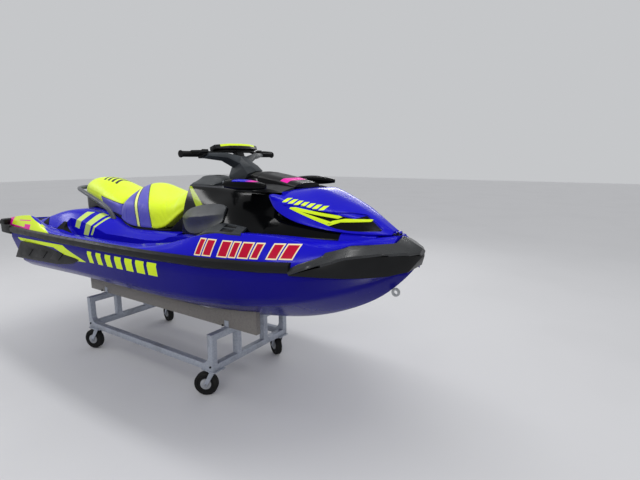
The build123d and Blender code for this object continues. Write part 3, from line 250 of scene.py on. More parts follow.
def block(name, low, high, bevel=0.0):
    middle = [(a + b) / 2 for a, b in zip(low, high)]
    size = [b - a for a, b in zip(low, high)]
    bpy.ops.mesh.primitive_cube_add(size=1, location=middle, scale=size)
    piece = named(bpy.context.object, name)
    settle(piece)
    if bevel:
        apply(piece, "BEVEL", width=bevel, segments=3)
    smooth(piece)
    return piece


def both_blocks(name, low, high):
    """A block on each side of the boat, given on the left side."""
    piece = block(name, (low[0], -high[1], low[2]), (high[0], -low[1], high[2]))
    mirrored(piece)
    return piece


def prism(name, outline, low, high, plan=False):
    """A block on each side of the boat whose side view, or plan, is the outline."""
    bpy.ops.mesh.primitive_circle_add(vertices=len(outline), radius=1, fill_type="NGON")
    piece = named(bpy.context.object, name)
    for vertex, (x, other) in zip(piece.data.vertices, outline):
        vertex.co = (x, -other, low) if plan else (x, -high, other)
    edit(piece)
    move = (0, 0, high - low) if plan else (0, high - low, 0)
    bpy.ops.mesh.extrude_region_move(TRANSFORM_OT_translate={"value": move})
    done()
    outward(piece)
    mirrored(piece)
    return piece


def rod(name, start, end, radius, vertices=24, bevel=0.0):
    start, end = Vector(start), Vector(end)
    turn = (end - start).to_track_quat("Z", "Y").to_euler()
    bpy.ops.mesh.primitive_cylinder_add(vertices=vertices, radius=radius, depth=(end - start).length,
                                        location=(start + end) / 2, rotation=turn)
    piece = named(bpy.context.object, name)
    settle(piece)
    if bevel:
        bevelled(piece, bevel, 2, 40)
    smooth(piece)
    return piece


def pipe(name, points, radius):
    """A round bar along a smooth line through the points."""
    curve = bpy.data.curves.new(name, "CURVE")
    curve.dimensions = "3D"
    spline = curve.splines.new("NURBS")
    spline.points.add(len(points) - 1)
    for made, point in zip(spline.points, points):
        made.co = (*point, 1)
    spline.use_endpoint_u = True
    spline.order_u = 3
    spline.resolution_u = 8
    curve.bevel_depth = radius
    curve.bevel_resolution = 5
    curve.use_fill_caps = True
    only(placed(name, curve))
    bpy.ops.object.convert(target="MESH")
    piece = named(bpy.context.object, name)
    outward(piece)
    smooth(piece, 50)
    return piece


def outer_patch(name, source, cutter, lift):
    """The part of a closed body's skin inside a cutter, lifted off it, as a plate of its own."""
    piece = copied(source, name)
    swollen(piece, lift)
    inner = copied(source, name + "_inner")
    swollen(inner, lift - PATCH_T)
    cut(piece, cutter, "INTERSECT")
    cut(piece, inner)
    return piece


def finished(node, slot, bevel, finish=None):
    """A CAD node's own shape with its edges rounded."""
    source = nodes[node]
    piece = copied(source, node + "_finished")
    edit(piece)
    bpy.ops.mesh.customdata_custom_splitnormals_clear()
    bpy.ops.mesh.remove_doubles(threshold=MERGE)
    bpy.ops.mesh.dissolve_limited(angle_limit=math.radians(1.0))
    done()
    bevelled(piece, bevel)
    smooth(piece)
    mount(piece, source["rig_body"], slot, node, finish=finish)


# Finishes

PAINT_EDGE = 0.0012


def linear(colour):
    """A colour as it looks on a screen, in the values that nodes take."""
    return [(c / 12.92 if c <= 0.04045 else ((c + 0.055) / 1.055) ** 2.4) for c in colour] + [1.0]


class Graph:
    """The nodes of a material or a world."""

    def __init__(self, owner):
        owner.use_nodes = True
        self.tree = owner.node_tree

    def fill(self, node, sockets):
        """Links outputs to a node's sockets and sets constants on them."""
        for name, source in sockets.items():
            if isinstance(source, bpy.types.NodeSocket):
                self.tree.links.new(source, node.inputs[name])
            else:
                node.inputs[name].default_value = source

    def node(self, kind, sockets=(), **settings):
        made = self.tree.nodes.new(kind)
        for name, value in settings.items():
            setattr(made, name, value)
        self.fill(made, dict(sockets))
        return made

    def folded(self, operation, first, *others):
        """Takes a sum, a product or the like of all the values, one after the other."""
        for other in others:
            first = self.node("ShaderNodeMath", enumerate((first, other)), operation=operation).outputs[0]
        return first


class Finish(Graph):
    """One material, with the values of its mottle and its grain. A mask is 1 where it holds, 0 elsewhere."""

    def __init__(self, name, colour, roughness, mottle=None, grain=None, metallic=0.0, coat=0.0, sheen=0.0,
                 specular=0.4):
        self.name = name
        self.material = bpy.data.materials.new(name)
        super().__init__(self.material)
        self.shader = self.tree.nodes["Principled BSDF"]
        self.fill(self.shader, {"Metallic": metallic, "Coat Weight": coat, "Coat Roughness": 0.08,
                                "Sheen Weight": sheen, "Specular IOR Level": specular})
        self.colour = linear(colour)
        self.rough = roughness
        self.place = self.node("ShaderNodeTexCoord").outputs["Object"]
        self.axes = self.node("ShaderNodeSeparateXYZ", {0: self.place}).outputs
        self.normal = {}
        if mottle:
            self.mottle(*mottle)
        if grain:
            self.grain(*grain)

    def both(self, *masks):
        return self.folded("MULTIPLY", *masks)

    def either(self, *masks):
        return self.folded("MAXIMUM", *masks)

    def texture(self, kind, stretch, **sockets):
        place = self.place
        if stretch:
            place = self.node("ShaderNodeMapping", {"Scale": stretch, "Vector": place}).outputs[0]
        return self.node(kind, {"Vector": place, **sockets}).outputs

    def noise(self, scale, detail=3.0, stretch=None):
        return self.texture("ShaderNodeTexNoise", stretch, Scale=scale, Detail=detail)["Fac"]

    def cells(self, scale, stretch=None):
        return self.texture("ShaderNodeTexVoronoi", stretch, Scale=scale)["Distance"]

    def axis(self, name):
        """A coordinate. The one called side is the distance from the middle plane."""
        if name == "side":
            return self.node("ShaderNodeMath", {0: self.axes["Y"]}, operation="ABSOLUTE").outputs[0]
        return self.axes[name]

    def ramp(self, source, zero, one):
        """A mask of an output or an axis. It falls along the way where zero is over one."""
        if isinstance(source, str):
            source = self.axis(source)
        sockets = {"Value": source, "From Min": zero, "From Max": one}
        return self.node("ShaderNodeMapRange", sockets).outputs[0]

    def within(self, source, low, high, soft=0.002):
        edge = soft / 2
        return self.both(self.ramp(source, low - edge, low + edge),
                         self.ramp(source, high + edge, high - edge))

    def plane(self, along, out, up, start):
        """Signed distance from a plane that is mirrored in the middle of the boat."""
        total = start
        for name, factor in (("X", along), ("side", out), ("Z", up)):
            if factor:
                total = self.folded("ADD", self.folded("MULTIPLY", self.axis(name), factor), total)
        return total

    def outline(self, *shapes, plan=False, grow=0.0):
        """A mask of convex shapes, each given by the corners of its side view or its plan."""
        masks = []
        for corners in shapes:
            if sum(a[0] * b[1] - b[0] * a[1] for a, b in zip(corners, corners[1:] + corners[:1])) < 0:
                corners = corners[::-1]
            sides = []
            for (ax, az), (bx, bz) in zip(corners, corners[1:] + corners[:1]):
                length = math.hypot(bx - ax, bz - az)
                nx, nz = (az - bz) / length, (bx - ax) / length
                start = -nx * ax - nz * az
                sides.append(self.plane(nx, nz, 0, start) if plan else self.plane(nx, 0, nz, start))
            inside = self.folded("MINIMUM", *sides)
            masks.append(self.ramp(inside, -grow - PAINT_EDGE / 2, -grow + PAINT_EDGE / 2))
        return self.either(*masks)

    def blended(self, kind, first, second, masks):
        """The second value where all the masks hold, and the first elsewhere."""
        sockets = {"Factor": self.both(*masks), "A": first, "B": second}
        return self.node("ShaderNodeMix", sockets, data_type=kind).outputs["Result"]

    def paint(self, colour, *masks):
        """Lays a colour over the finish where all the masks hold."""
        self.colour = self.blended("RGBA", self.colour, linear(colour), masks)

    def roughen(self, value, *masks):
        self.rough = self.blended("FLOAT", self.rough, value, masks)

    def mottle(self, scale, colour, low=0.45, high=0.7, amount=0.35):
        """Blotches of another colour."""
        self.paint(colour, self.ramp(self.noise(scale), low, high), amount)

    def bump(self, height, strength, distance):
        sockets = {"Height": height, "Strength": strength, "Distance": distance, **self.normal}
        self.normal = {"Normal": self.node("ShaderNodeBump", sockets).outputs["Normal"]}

    def grain(self, scale, detail, strength, distance, stretch=None):
        """A fine bump."""
        self.bump(self.noise(scale, detail, stretch), strength, distance)

    def worn(self, value, scale, detail, low, high):
        """Blotches of another roughness."""
        self.roughen(value, self.ramp(self.noise(scale, detail), low, high))

    def make(self):
        self.fill(self.shader, {"Base Color": self.colour, "Roughness": self.rough, **self.normal})
        return self.material


BLUE = (0.085, 0.065, 0.735)
SHADED_BLUE = (0.075, 0.055, 0.64)
DEEP_BLUE = (0.075, 0.06, 0.47)
YELLOW = (0.83, 0.93, 0.16)
CREAM = (0.96, 0.9, 0.7)
RED = (0.72, 0.05, 0.2)
MAGENTA = (0.88, 0.02, 0.62)
PALE_YELLOW = (0.78, 0.87, 0.45)
SEAT_YELLOW = (0.87, 0.97, 0.05)
SEAT_PURPLE = (0.325, 0.315, 0.72)
# Black of the hood's sunk panel and the seat's chevrons, and also the painted shade behind the bumper's seam
BLACK_AND_SEAM_SHADE = (0.03, 0.03, 0.034)
VENT_GREY = (0.185, 0.2, 0.215)

# Side views and plans that several finishes or shapes use
HOOD_RECESS = [(1.07, 1.219), (1.316, 1.121), (1.352, 1.108), (1.4, 1.098), (1.455, 1.093), (1.53, 1.092),
               (1.545, 1.135), (1.455, 1.166), (1.385, 1.182), (1.325, 1.183), (1.265, 1.19), (1.165, 1.218)]
# Painted shade: the strip of hull and deck behind the seam of bumper and skirt, painted black as the shade
# in that gap
BUMPER_SEAM_SHADE = [(1.27, 0.905), (1.42, 0.942), (1.42, 0.97), (1.27, 0.94)]
VENT_SLOTS = (((0.748, 0.372), (0.838, 0.38), (0.872, 0.43), (0.784, 0.43)),
              ((0.792, 0.442), (0.88, 0.442), (0.918, 0.508), (0.83, 0.506)))

# Planes of the seats' seams: along, out, up, start
SEAM = (0.704, -0.696, 0.141, 0.093)
BAND = (0.791, -0.6, 0.12, 0.2238)
BAND_WIDTH = 0.026
SKIRT = (0.1465, 0.0, 0.9892, -1.0417)
SKIRT_END = (0.777, 0.0, 0.629, -0.1137)
SEAM_SOFT = 0.0008


def gelcoat(name, colour, deep, specular=0.12):
    finish = Finish(name, colour, 0.18, (2.2, deep, 0.4, 0.75, 0.5), (160, 2, 0.05, 0.0006),
                    specular=specular)
    finish.worn(0.3, 38, 4, 0.5, 0.8)
    return finish


def moulded(name, colour, roughness, specular=0.22):
    paler = [min(1, c * 1.5 + 0.01) for c in colour]
    finish = Finish(name, colour, roughness, (9, paler, 0.45, 0.8, 0.5), (900, 3, 0.25, 0.0004),
                    specular=specular)
    finish.worn(roughness + 0.12, 14, 5, 0.45, 0.75)
    return finish


def glossy(name):
    return Finish(name, (0.02, 0.022, 0.026), 0.15, (9, (0.034, 0.036, 0.042), 0.45, 0.8, 0.5),
                  (60, 2, 0.02, 0.0004), specular=0.1)


def vinyl(name, colour):
    darker = [c * 0.93 for c in colour]
    finish = Finish(name, colour, 0.4, (5, darker, 0.4, 0.7, 0.6), sheen=0.12, specular=0.35)
    finish.bump(finish.cells(620), 0.3, 0.0005)
    finish.grain(26, 3, 0.25, 0.003)
    finish.worn(0.52, 40, 4, 0.5, 0.8)
    return finish


def slanted(x, low, high, width, lean):
    """Corners of an upright bar that leans forward."""
    return [(x, low), (x + width, low), (x + width + lean, high), (x + lean, high)]


def hull_paint():
    finish = gelcoat("hull_paint", DEEP_BLUE, (0.062, 0.05, 0.385), specular=0.05)
    stripe = [(-1.357, 0.85), (-1.311, 0.828), (-0.733, 0.843), (-0.586, 0.876)]
    stripe_end = [(-0.733, 0.843), (-0.516, 0.772), (-0.34, 0.785), (-0.586, 0.876)]
    # Plain bars of growing width
    bars = [slanted(-0.288 + 0.103 * i, 0.792 + 0.0018 * i, 0.876 + 0.0018 * i, 0.05 + 0.0048 * i, 0.03)
            for i in range(7)]
    finish.paint(YELLOW, finish.ramp("Z", 0.7, 0.71), finish.outline(stripe, stripe_end, *bars))
    # Painted shade: the hull behind the seam of bumper and skirt is painted black
    finish.paint(BLACK_AND_SEAM_SHADE, finish.outline(BUMPER_SEAM_SHADE))
    return finish


def deck_paint():
    finish = gelcoat("deck_paint", BLUE, SHADED_BLUE)
    slashes = finish.outline(
        [(-0.862, 0.95), (-0.805, 0.938), (-0.725, 1.06), (-0.795, 1.06)],
        [(-0.752, 0.9), (-0.69, 0.897), (-0.585, 1.06), (-0.665, 1.06)],
        [(-0.655, 0.905), (-0.632, 0.905), (-0.53, 1.05), (-0.553, 1.05)])
    finish.paint(PALE_YELLOW, slashes, finish.within("side", 0.24, 0.42))
    # Quarter decal, limited in side view and in plan
    quarter = finish.outline(
        [(-1.7, 0.9), (-0.76, 0.9), (-0.79, 0.936), (-1.16, 1.02), (-1.3, 1.05), (-1.7, 1.05)])
    plan = finish.outline(
        [(-1.68, 0.4), (-1.4, 0.4), (-1.2, 0.505), (-1.2, 0.64), (-1.68, 0.64)],
        [(-1.21, 0.5), (-0.78, 0.555), (-0.78, 0.64), (-1.21, 0.64)], plan=True)
    decal = finish.both(quarter, plan)
    bands = finish.outline(
        [(-1.69, 0.9), (-1.56, 0.9), (-1.5, 1.01), (-1.63, 1.01)],
        [(-1.245, 0.9), (-1.115, 0.9), (-1.12, 0.968), (-1.235, 0.962)],
        [(-1.37, 0.983), (-1.37, 0.976), (-1.145, 0.991), (-1.145, 0.998)],
        [(-1.56, 0.9), (-1.24, 0.9), (-1.24, 0.938), (-1.54, 0.934)])
    finish.paint(YELLOW, decal)
    finish.paint(MAGENTA, decal, bands)
    # Slanted bars with a pale border at the bow
    bars = []
    for x, width in ((0.727, 0.03), (0.777, 0.044), (0.868, 0.048), (0.934, 0.03), (0.984, 0.046),
                     (1.05, 0.03), (1.13, 0.04), (1.19, 0.05)):
        low = 0.971 + 0.0255 * (x - 0.73)
        bars.append(slanted(x, low, low + 0.076 - 0.034 * (x - 0.73), width, 0.018))
    low_side = finish.ramp("side", 0.25, 0.26)
    finish.paint(CREAM, low_side, finish.outline(*bars, grow=0.006))
    finish.paint(RED, low_side, finish.outline(*bars))
    # Painted shade: the deck behind the seam of bumper and skirt is painted black
    finish.paint(BLACK_AND_SEAM_SHADE, low_side, finish.outline(BUMPER_SEAM_SHADE))
    return finish


def hood_paint():
    finish = gelcoat("hood_paint", BLUE, SHADED_BLUE)
    # The recess as two convex shapes
    halves = [[HOOD_RECESS[i] for i in half] for half in ((0, 1, 7, 8, 10, 11), (1, 2, 3, 4, 5, 6, 7))]
    finish.paint(BLACK_AND_SEAM_SHADE, finish.outline(*halves, grow=0.0008), finish.ramp("side", 0.06, 0.065))
    # Small bars above the recess
    marks = [slanted(1.066 + 0.031 * i, 1.231 - 0.006 * i, 1.25 - 0.006 * i, 0.021, 0.008) for i in range(7)]
    finish.paint(YELLOW, finish.outline(*marks), finish.ramp("side", 0.15, 0.155))
    return finish


def console_black():
    finish = glossy("console_black")
    finish.paint(BLUE, finish.ramp("X", 1.371, 1.373))
    top = finish.both(finish.ramp("Z", 1.2795, 1.2805), finish.ramp("X", 0.742, 0.74))
    finish.paint((0.2, 0.205, 0.225), top)
    finish.roughen(0.45, top)
    # The console's yellow accent band, painted a darker yellow than YELLOW as painted shade
    shaded_accent = finish.outline([(0.195, 1.279), (0.234, 1.279), (0.421, 1.179), (0.353, 1.16)])
    finish.paint((0.62, 0.7, 0.12), shaded_accent, finish.ramp("side", 0.12, 0.122))
    return finish


def rubber(name, colour, stretch):
    finish = moulded(name, colour, 0.75, specular=0.25)
    finish.bump(finish.ramp(finish.cells(90, stretch), 0.0, 0.6), 0.4, 0.0012)
    return finish


def tyre_rubber():
    finish = moulded("tyre", (0.055, 0.055, 0.057), 0.7, specular=0.25)
    finish.mottle(16, (0.17, 0.165, 0.155), 0.5, 0.8, 0.5)
    return finish


def galvanised():
    finish = Finish("frame_metal", (0.66, 0.68, 0.72), 0.42, metallic=0.5)
    finish.paint((0.52, 0.55, 0.61), finish.ramp(finish.cells(70), 0.2, 0.9), 0.45)
    finish.mottle(7, (0.43, 0.43, 0.44), 0.5, 0.8, 0.6)
    finish.grain(240, 4, 0.2, 0.0006)
    finish.worn(0.6, 20, 4, 0.45, 0.7)
    return finish


def front_seat_cover():
    finish = vinyl("seat_cover", SEAT_YELLOW)
    behind = finish.ramp(finish.plane(*SEAM), SEAM_SOFT, -SEAM_SOFT)
    finish.paint(SEAT_PURPLE, behind)
    band = finish.within(finish.plane(*BAND), 0.0, BAND_WIDTH, 2 * SEAM_SOFT)
    finish.paint((0.93, 0.97, 0.55), band, behind)
    return finish


def rear_seat_cover():
    finish = vinyl("rear_cover", SEAT_YELLOW)
    below = finish.ramp(finish.plane(*SKIRT), SEAM_SOFT, -SEAM_SOFT)
    finish.paint(SEAT_PURPLE, below, finish.ramp(finish.plane(*SKIRT_END), -SEAM_SOFT, SEAM_SOFT))
    # Four small chevrons on the top
    marks = [slanted(-0.935 + 0.05 * i, -0.01, 0.075, 0.026, 0.03) for i in range(4)]
    finish.paint(BLACK_AND_SEAM_SHADE, finish.outline(*marks, plan=True), finish.ramp("Z", 1.2, 1.202))
    return finish


def pod_black():
    """Glossy black with a blue top, and magenta at its front. The left pod's inner part stays plain."""
    finish = glossy("pod_black")
    top = finish.ramp("Z", 1.333, 1.3345)
    starboard = finish.ramp("Y", 0.001, -0.001)
    painted = finish.both(top, finish.either(starboard, finish.ramp("side", 0.35, 0.352)))
    finish.paint(BLUE, painted, finish.within("X", 0.8, 0.985, 0.003))
    finish.paint(MAGENTA, painted, finish.ramp("X", 0.885, 0.925))
    return finish


def visor_black():
    finish = moulded("visor_trim", (0.022, 0.024, 0.028), 0.3, specular=0.12)
    band = finish.outline([(0.92, 1.314), (0.968, 1.314), (0.962, 1.36), (0.914, 1.36)])
    finish.paint(MAGENTA, band, finish.ramp("side", 0.114, 0.112))
    return finish


def vent_grey():
    finish = moulded("vent_grey", VENT_GREY, 0.38)
    # Painted shade: the floors of the vent slots are painted near black, as the shade inside the openings
    slot_shade = finish.outline(*VENT_SLOTS, plan=True, grow=-0.002)
    finish.paint((0.008, 0.008, 0.009), slot_shade, finish.ramp("Z", 1.0, 1.001))
    return finish


def pad_black():
    """Black bar pad with a yellow strip along its top."""
    finish = moulded("pad_black", (0.045, 0.047, 0.052), 0.45)
    strip = finish.ramp(finish.plane(-0.342, 0.0, 0.94, -1.2628), -0.001, 0.001)
    finish.paint(YELLOW, strip, finish.within("side", -1.0, 0.15))
    return finish


# A finish for each slot, and those that some pieces have in its place

FINISHES = {finish.name: finish.make() for finish in (
    hull_paint(), deck_paint(), hood_paint(), gelcoat("yellow_paint", YELLOW, (0.76, 0.86, 0.13)),
    moulded("black_trim", (0.052, 0.055, 0.06), 0.4),
    moulded("grey_trim", VENT_GREY, 0.38),
    moulded("bumper_trim", (0.115, 0.123, 0.132), 0.27, specular=0.5),
    moulded("knee_trim", (0.2, 0.21, 0.225), 0.3, specular=0.4),
    moulded("cowl_trim", (0.085, 0.09, 0.1), 0.42),
    moulded("handle_trim", (0.3, 0.31, 0.33), 0.3),
    moulded("caster_hub", (0.55, 0.56, 0.58), 0.5),
    glossy("gloss_black"), console_black(), pod_black(), visor_black(), vent_grey(), pad_black(),
    rubber("mat_rubber", (0.045, 0.046, 0.048), (1, 3, 1)),
    rubber("grip_rubber", (0.04, 0.04, 0.042), (3, 3, 3)),
    tyre_rubber(), galvanised(), front_seat_cover(), rear_seat_cover(), vinyl("piping", (0.1, 0.1, 0.16)),
    Finish("cast_aluminium", (0.62, 0.63, 0.65), 0.42, (30, (0.45, 0.46, 0.48)), (420, 4, 0.25, 0.0006),
           metallic=0.85),
    Finish("steel", (0.66, 0.67, 0.68), 0.3, (80, (0.52, 0.53, 0.54)), (260, 2, 0.12, 0.0004, (1, 12, 12)),
           metallic=1.0),
    Finish("bunk_carpet", (0.47, 0.455, 0.44), 0.95, (60, (0.36, 0.35, 0.34)), (1400, 2, 0.7, 0.002),
           sheen=0.3, specular=0.1),
    Finish("screen_glass", (0.02, 0.025, 0.03), 0.08, (20, (0.04, 0.05, 0.07)), coat=0.5),
    Finish("mirror_glass", (0.75, 0.77, 0.8), 0.04, None, (4, 1, 0.02, 0.001), metallic=1.0),
)}

# Hull, with the jet tunnel, the intake and the room for the footwells taken out

HULL = (
    # along as a share of the half length, keel_up, chine_y, chine_up, rail_in
    (-0.855, 0.0, 0.48, 0.235, 0.012), (-0.6, 0.0, 0.504, 0.258, 0.012),
    (-0.35, 0.0, 0.53, 0.288, 0.012), (0.0, 0.0, 0.543, 0.292, 0.012),
    (0.22, 0.006, 0.545, 0.298, 0.012), (0.435, 0.058, 0.522, 0.315, 0.012),
    (0.565, 0.096, 0.468, 0.334, 0.012), (0.68, 0.152, 0.392, 0.362, 0.016),
    (0.785, 0.229, 0.29, 0.398, 0.036), (0.88, 0.322, 0.165, 0.44, 0.034),
    (0.95, 0.442, 0.06, 0.492, 0.044), (0.975, 0.498, 0.022, 0.524, 0.052),
)
WELL_LOW = (-0.93, 0.345, 0.833)
WELL_HIGH = (0.47, 0.52, 1.2)
WELL_SKIN = 0.012
RAIL_DROP = 0.06


def hull_row(along, keel_up, chine_y, chine_up, rail_in):
    x = along * HALF_L
    seam = bond(x)
    rail_y, rail = half_beam(x) - rail_in, seam - RAIL_DROP
    keel, chine = KEEL_Z + keel_up, KEEL_Z + chine_up
    return section(x, (0, keel), (0.44 * chine_y, keel + 0.4 * (chine - keel)),
                   (0.88 * chine_y, keel + 0.8 * (chine - keel)), (chine_y, chine),
                   (chine_y + 0.45 * (rail_y - chine_y), chine + 0.42 * (rail - chine)),
                   (rail_y, rail), (rail_y, seam), (0, seam))


hull = body_of_rows("hull_shell", hull_row, HULL, ((0, 0.7), (2, 0.85), (3, 0.85), (5, 0.6), (6, 1.0)))
cut(hull, block("tunnel_cutter", (-1.49, -0.15, 0.39), (-1.03, 0.15, 0.65)))
cut(hull, block("intake_cutter", (-1.04, -0.085, 0.39), (-0.56, 0.085, 0.485)))
cut(hull, both_blocks("well_room", WELL_LOW, WELL_HIGH))
smooth(hull)
mount(hull, "craft", "hull_paint", "hull")

# Deck with its plinth and footwells

DECK = (
    # along as a share of the half length, crest_in, crest_z, inner_y, inner_z
    (-0.976, 0.075, 0.966, 0.38, 0.935), (-0.9, 0.062, 0.99, 0.4, 0.938),
    (-0.68, 0.064, 1.042, 0.43, 0.95), (-0.6, 0.052, 1.0, 0.44, 0.94),
    (-0.52, 0.034, 0.944, 0.44, 0.922), (-0.2, 0.034, 0.946, 0.44, 0.926),
    (0.1, 0.036, 0.95, 0.44, 0.932), (0.12, 0.038, 0.952, 0.345, 0.984),
    (0.21, 0.048, 0.968, 0.345, 0.99), (0.31, 0.052, 1.004, 0.4, 1.002),
    (0.44, 0.058, 1.082, 0.42, 1.07), (0.59, 0.056, 1.092, 0.4, 1.078),
    (0.69, 0.096, 1.074, 0.33, 1.068), (0.8, 0.057, 1.02, 0.268, 1.046),
    (0.85, 0.07, 1.048, 0.215, 1.056), (0.89, 0.151, 1.058, 0.13, 1.064),
    (0.934, 0.134, 1.05, 0.055, 1.068),
)
EDGE_INSET = ((0.69, 0.014), (0.8, 0.034), (0.85, 0.045))
EDGE_RISE = 0.018
STERN_BUMPER_X = -1.5
STERN_BUMPER_T = 0.034


def deck_row(along, crest_in, crest_z, inner_y, inner_z):
    x = along * HALF_L
    seam = bond(x)
    edge_y = half_beam(x) - between(EDGE_INSET, along, 1)
    if x < STERN_BUMPER_X:
        edge_y -= STERN_BUMPER_T
    crest_y = half_beam(x) - crest_in
    edge, crest = (edge_y, seam + EDGE_RISE), (crest_y, crest_z)
    inner_y = min(inner_y, crest_y - 0.01)
    return section(x, (0, seam), (edge_y, seam), edge, halfway(edge, crest, 0.006, 0.004), crest,
                   (crest_y - 0.012, crest_z + 0.001), (inner_y, inner_z), (0, inner_z))


PLINTH = (
    # x, foot_y, top_y, top_z
    (-1.33, 0.42, 0.36, 0.975), (-1.1, 0.43, 0.33, 1.05), (-0.9, 0.43, 0.29, 1.085),
    (-0.58, 0.4, 0.262, 1.048), (-0.4, 0.345, 0.262, 0.988), (-0.26, 0.335, 0.262, 0.966),
    (0.1, 0.335, 0.262, 0.984), (0.207, 0.335, 0.262, 0.984),
)
PLINTH_Z = 0.925


def plinth_row(x, foot_y, top_y, top_z):
    foot, top = (foot_y, PLINTH_Z), (top_y, top_z)
    return section(x, (0, PLINTH_Z), foot, halfway(foot, top, 0.008, 0.006), top, (0, top_z))


deck = body_of_rows("deck_shell", deck_row, DECK, ((1, 1.0), (2, 0.3), (4, 0.55), (5, 0.2), (6, 0.5)))
cut(deck, body_of_rows("plinth", plinth_row, PLINTH, ((1, 1.0), (3, 0.5))), "UNION")
trough_high = (*WELL_HIGH[:2], bond(WELL_HIGH[0]) + 0.004)
cut(deck, both_blocks("well_trough", WELL_LOW, trough_high), "UNION")
# The well's floor slopes up at its rear end
well = prism("well_cutter", [(-0.918, 1.2), (-0.918, 0.945), (-0.8, 0.845), (0.458, 0.845), (0.458, 1.2)],
             WELL_LOW[1] + WELL_SKIN, WELL_HIGH[1] - WELL_SKIN)
bevelled(well, 0.01, 3, 20)
cut(deck, well)
smooth(deck)
mount(deck, "craft", "deck_paint", "deck")
for name, outline in (
    ("quarter_pad_rear", [(-1.262, 0.428), (-1.222, 0.362), (-1.135, 0.418)]),
    ("quarter_pad_front", [(-1.015, 0.44), (-0.955, 0.385), (-0.865, 0.382), (-0.905, 0.432)]),
):
    cutter = prism(name + "_cutter", outline, 0.86, 1.1, plan=True)
    mount(outer_patch(name, deck, cutter, 0.0016), "craft", "mat_rubber")

# Console, with the storage bin's room, the glovebox and the steering boss

CONSOLE = (
    # x, foot_y, foot_z, shoulder_y, shoulder_z, top_y, top_z
    (0.207, 0.235, 0.984, 0.205, 1.17, 0.15, 1.288), (0.362, 0.28, 0.99, 0.232, 1.18, 0.185, 1.288),
    (0.535, 0.33, 1.002, 0.27, 1.19, 0.205, 1.284), (0.759, 0.4, 1.07, 0.325, 1.22, 0.235, 1.268),
    (1.009, 0.398, 1.078, 0.29, 1.15, 0.238, 1.262), (1.018, 0.398, 1.078, 0.29, 1.15, 0.238, 1.176),
    (1.19, 0.326, 1.066, 0.292, 1.118, 0.25, 1.118), (1.38, 0.236, 1.046, 0.208, 1.082, 0.17, 1.082),
    (1.518, 0.116, 1.062, 0.1, 1.07, 0.08, 1.07),
)


def console_row(x, foot_y, foot_z, shoulder_y, shoulder_z, top_y, top_z):
    foot, shoulder = (foot_y, foot_z), (shoulder_y, shoulder_z)
    return section(x, (0, foot_z - 0.02), (foot_y, foot_z - 0.02), foot, halfway(foot, shoulder, 0.004),
                   shoulder, (top_y, top_z), (top_y - 0.02, top_z), (0, top_z))


console = body_of_rows("console_shell", console_row, CONSOLE, ((1, 1.0), (4, 0.25), (5, 0.45), (6, 0.3)),
                       cross_creases=((4, 0.9), (5, 0.9)))
cut(console, block("bin_room", (1.03, -0.15, 0.9), (1.37, 0.15, 1.3)))
cut(console, block("glovebox_rim", (0.22, -0.117, 1.282), (0.423, 0.117, 1.34)))
cut(console, block("glovebox_room", (0.238, -0.099, 1.187), (0.396, 0.099, 1.3)))
RAKE = math.radians(20)
STEER_ORIGIN = Vector((0.565, 0, 1.3))
STEER_UP = Vector((-math.sin(RAKE), 0, math.cos(RAKE)))
BOSS_RADIUS = 0.062
SHAFT_HOLE_RADIUS = 0.0145


def steering_axis(up):
    """The point of the axis that lies so far over its origin."""
    return STEER_ORIGIN + STEER_UP * up


cut(console, rod("boss", steering_axis(-0.04), steering_axis(0.014), BOSS_RADIUS, 48), "UNION")
cut(console, rod("shaft_hole", steering_axis(-0.032), steering_axis(0.02), SHAFT_HOLE_RADIUS))
for y in (-0.1, 0.1):
    cut(console, block("hinge_ear", (0.407, y - 0.003, 1.281), (0.415, y + 0.003, 1.293)), "UNION")
cut(console, rod("hinge_pin", (0.411, -0.103, 1.29), (0.411, 0.103, 1.29), 0.003, 12), "UNION")
bevelled(console, 0.0015, 2, 50)
smooth(console)
mount(console, "craft", "gloss_black", "console", finish="console_black")


def console_side(x, z):
    """Half width of the console's side at a height."""
    foot_y, foot_z, shoulder_y, shoulder_z = (between(CONSOLE, x, column) for column in (1, 2, 3, 4))
    return foot_y + (shoulder_y - foot_y) * (z - foot_z) / (shoulder_z - foot_z)


KNEE = (
    # x, low_z, ridge_z, high_z, bulge
    (0.205, 1.072, 1.082, 1.092, 0.006), (0.25, 1.006, 1.085, 1.132, 0.016),
    (0.33, 0.996, 1.098, 1.16, 0.028), (0.42, 1.008, 1.11, 1.178, 0.032),
    (0.52, 1.034, 1.124, 1.192, 0.032), (0.61, 1.068, 1.138, 1.197, 0.028),
    (0.67, 1.094, 1.146, 1.197, 0.018), (0.7, 1.11, 1.15, 1.186, 0.006),
)
KNEE_T = 0.024


def knee_ring(x, low, ridge, high, bulge):
    hollow = 0.55 * low + 0.45 * ridge
    face = [(console_side(x, z) + out, z)
            for z, out in ((low, 0.004), (hollow, bulge * 0.15), (ridge, bulge), (high, 0.003))]
    return section(x, (face[0][0] - KNEE_T, low), *face, (face[3][0] - KNEE_T, high))


knee = ring_of_rows("knee_panel_shell", knee_ring, KNEE, ((1, 0.8), (3, 0.75), (4, 0.8)))
mirrored(knee)
smooth(knee, 30)
mount(knee, "craft", "grey_trim", "knee_panels", finish="knee_trim")

VENT = (
    # inner x, y, z and outer x, y, z of the upper face
    (0.56, 0.325, 1.058, 0.6, 0.47, 1.03), (0.66, 0.345, 1.096, 0.7, 0.53, 1.066),
    (0.72, 0.36, 1.106, 0.775, 0.532, 1.085), (0.82, 0.37, 1.103, 0.885, 0.524, 1.088),
    (0.9, 0.378, 1.097, 0.975, 0.505, 1.09),
)
VENT_T = 0.014
SLOT_DEPTH = 0.008


def vent_ring(in_x, in_y, in_z, out_x, out_y, out_z):
    return [(in_x, -in_y, in_z), (out_x, -out_y, out_z), (out_x, -out_y, out_z - VENT_T),
            (in_x, -in_y, in_z - VENT_T)]


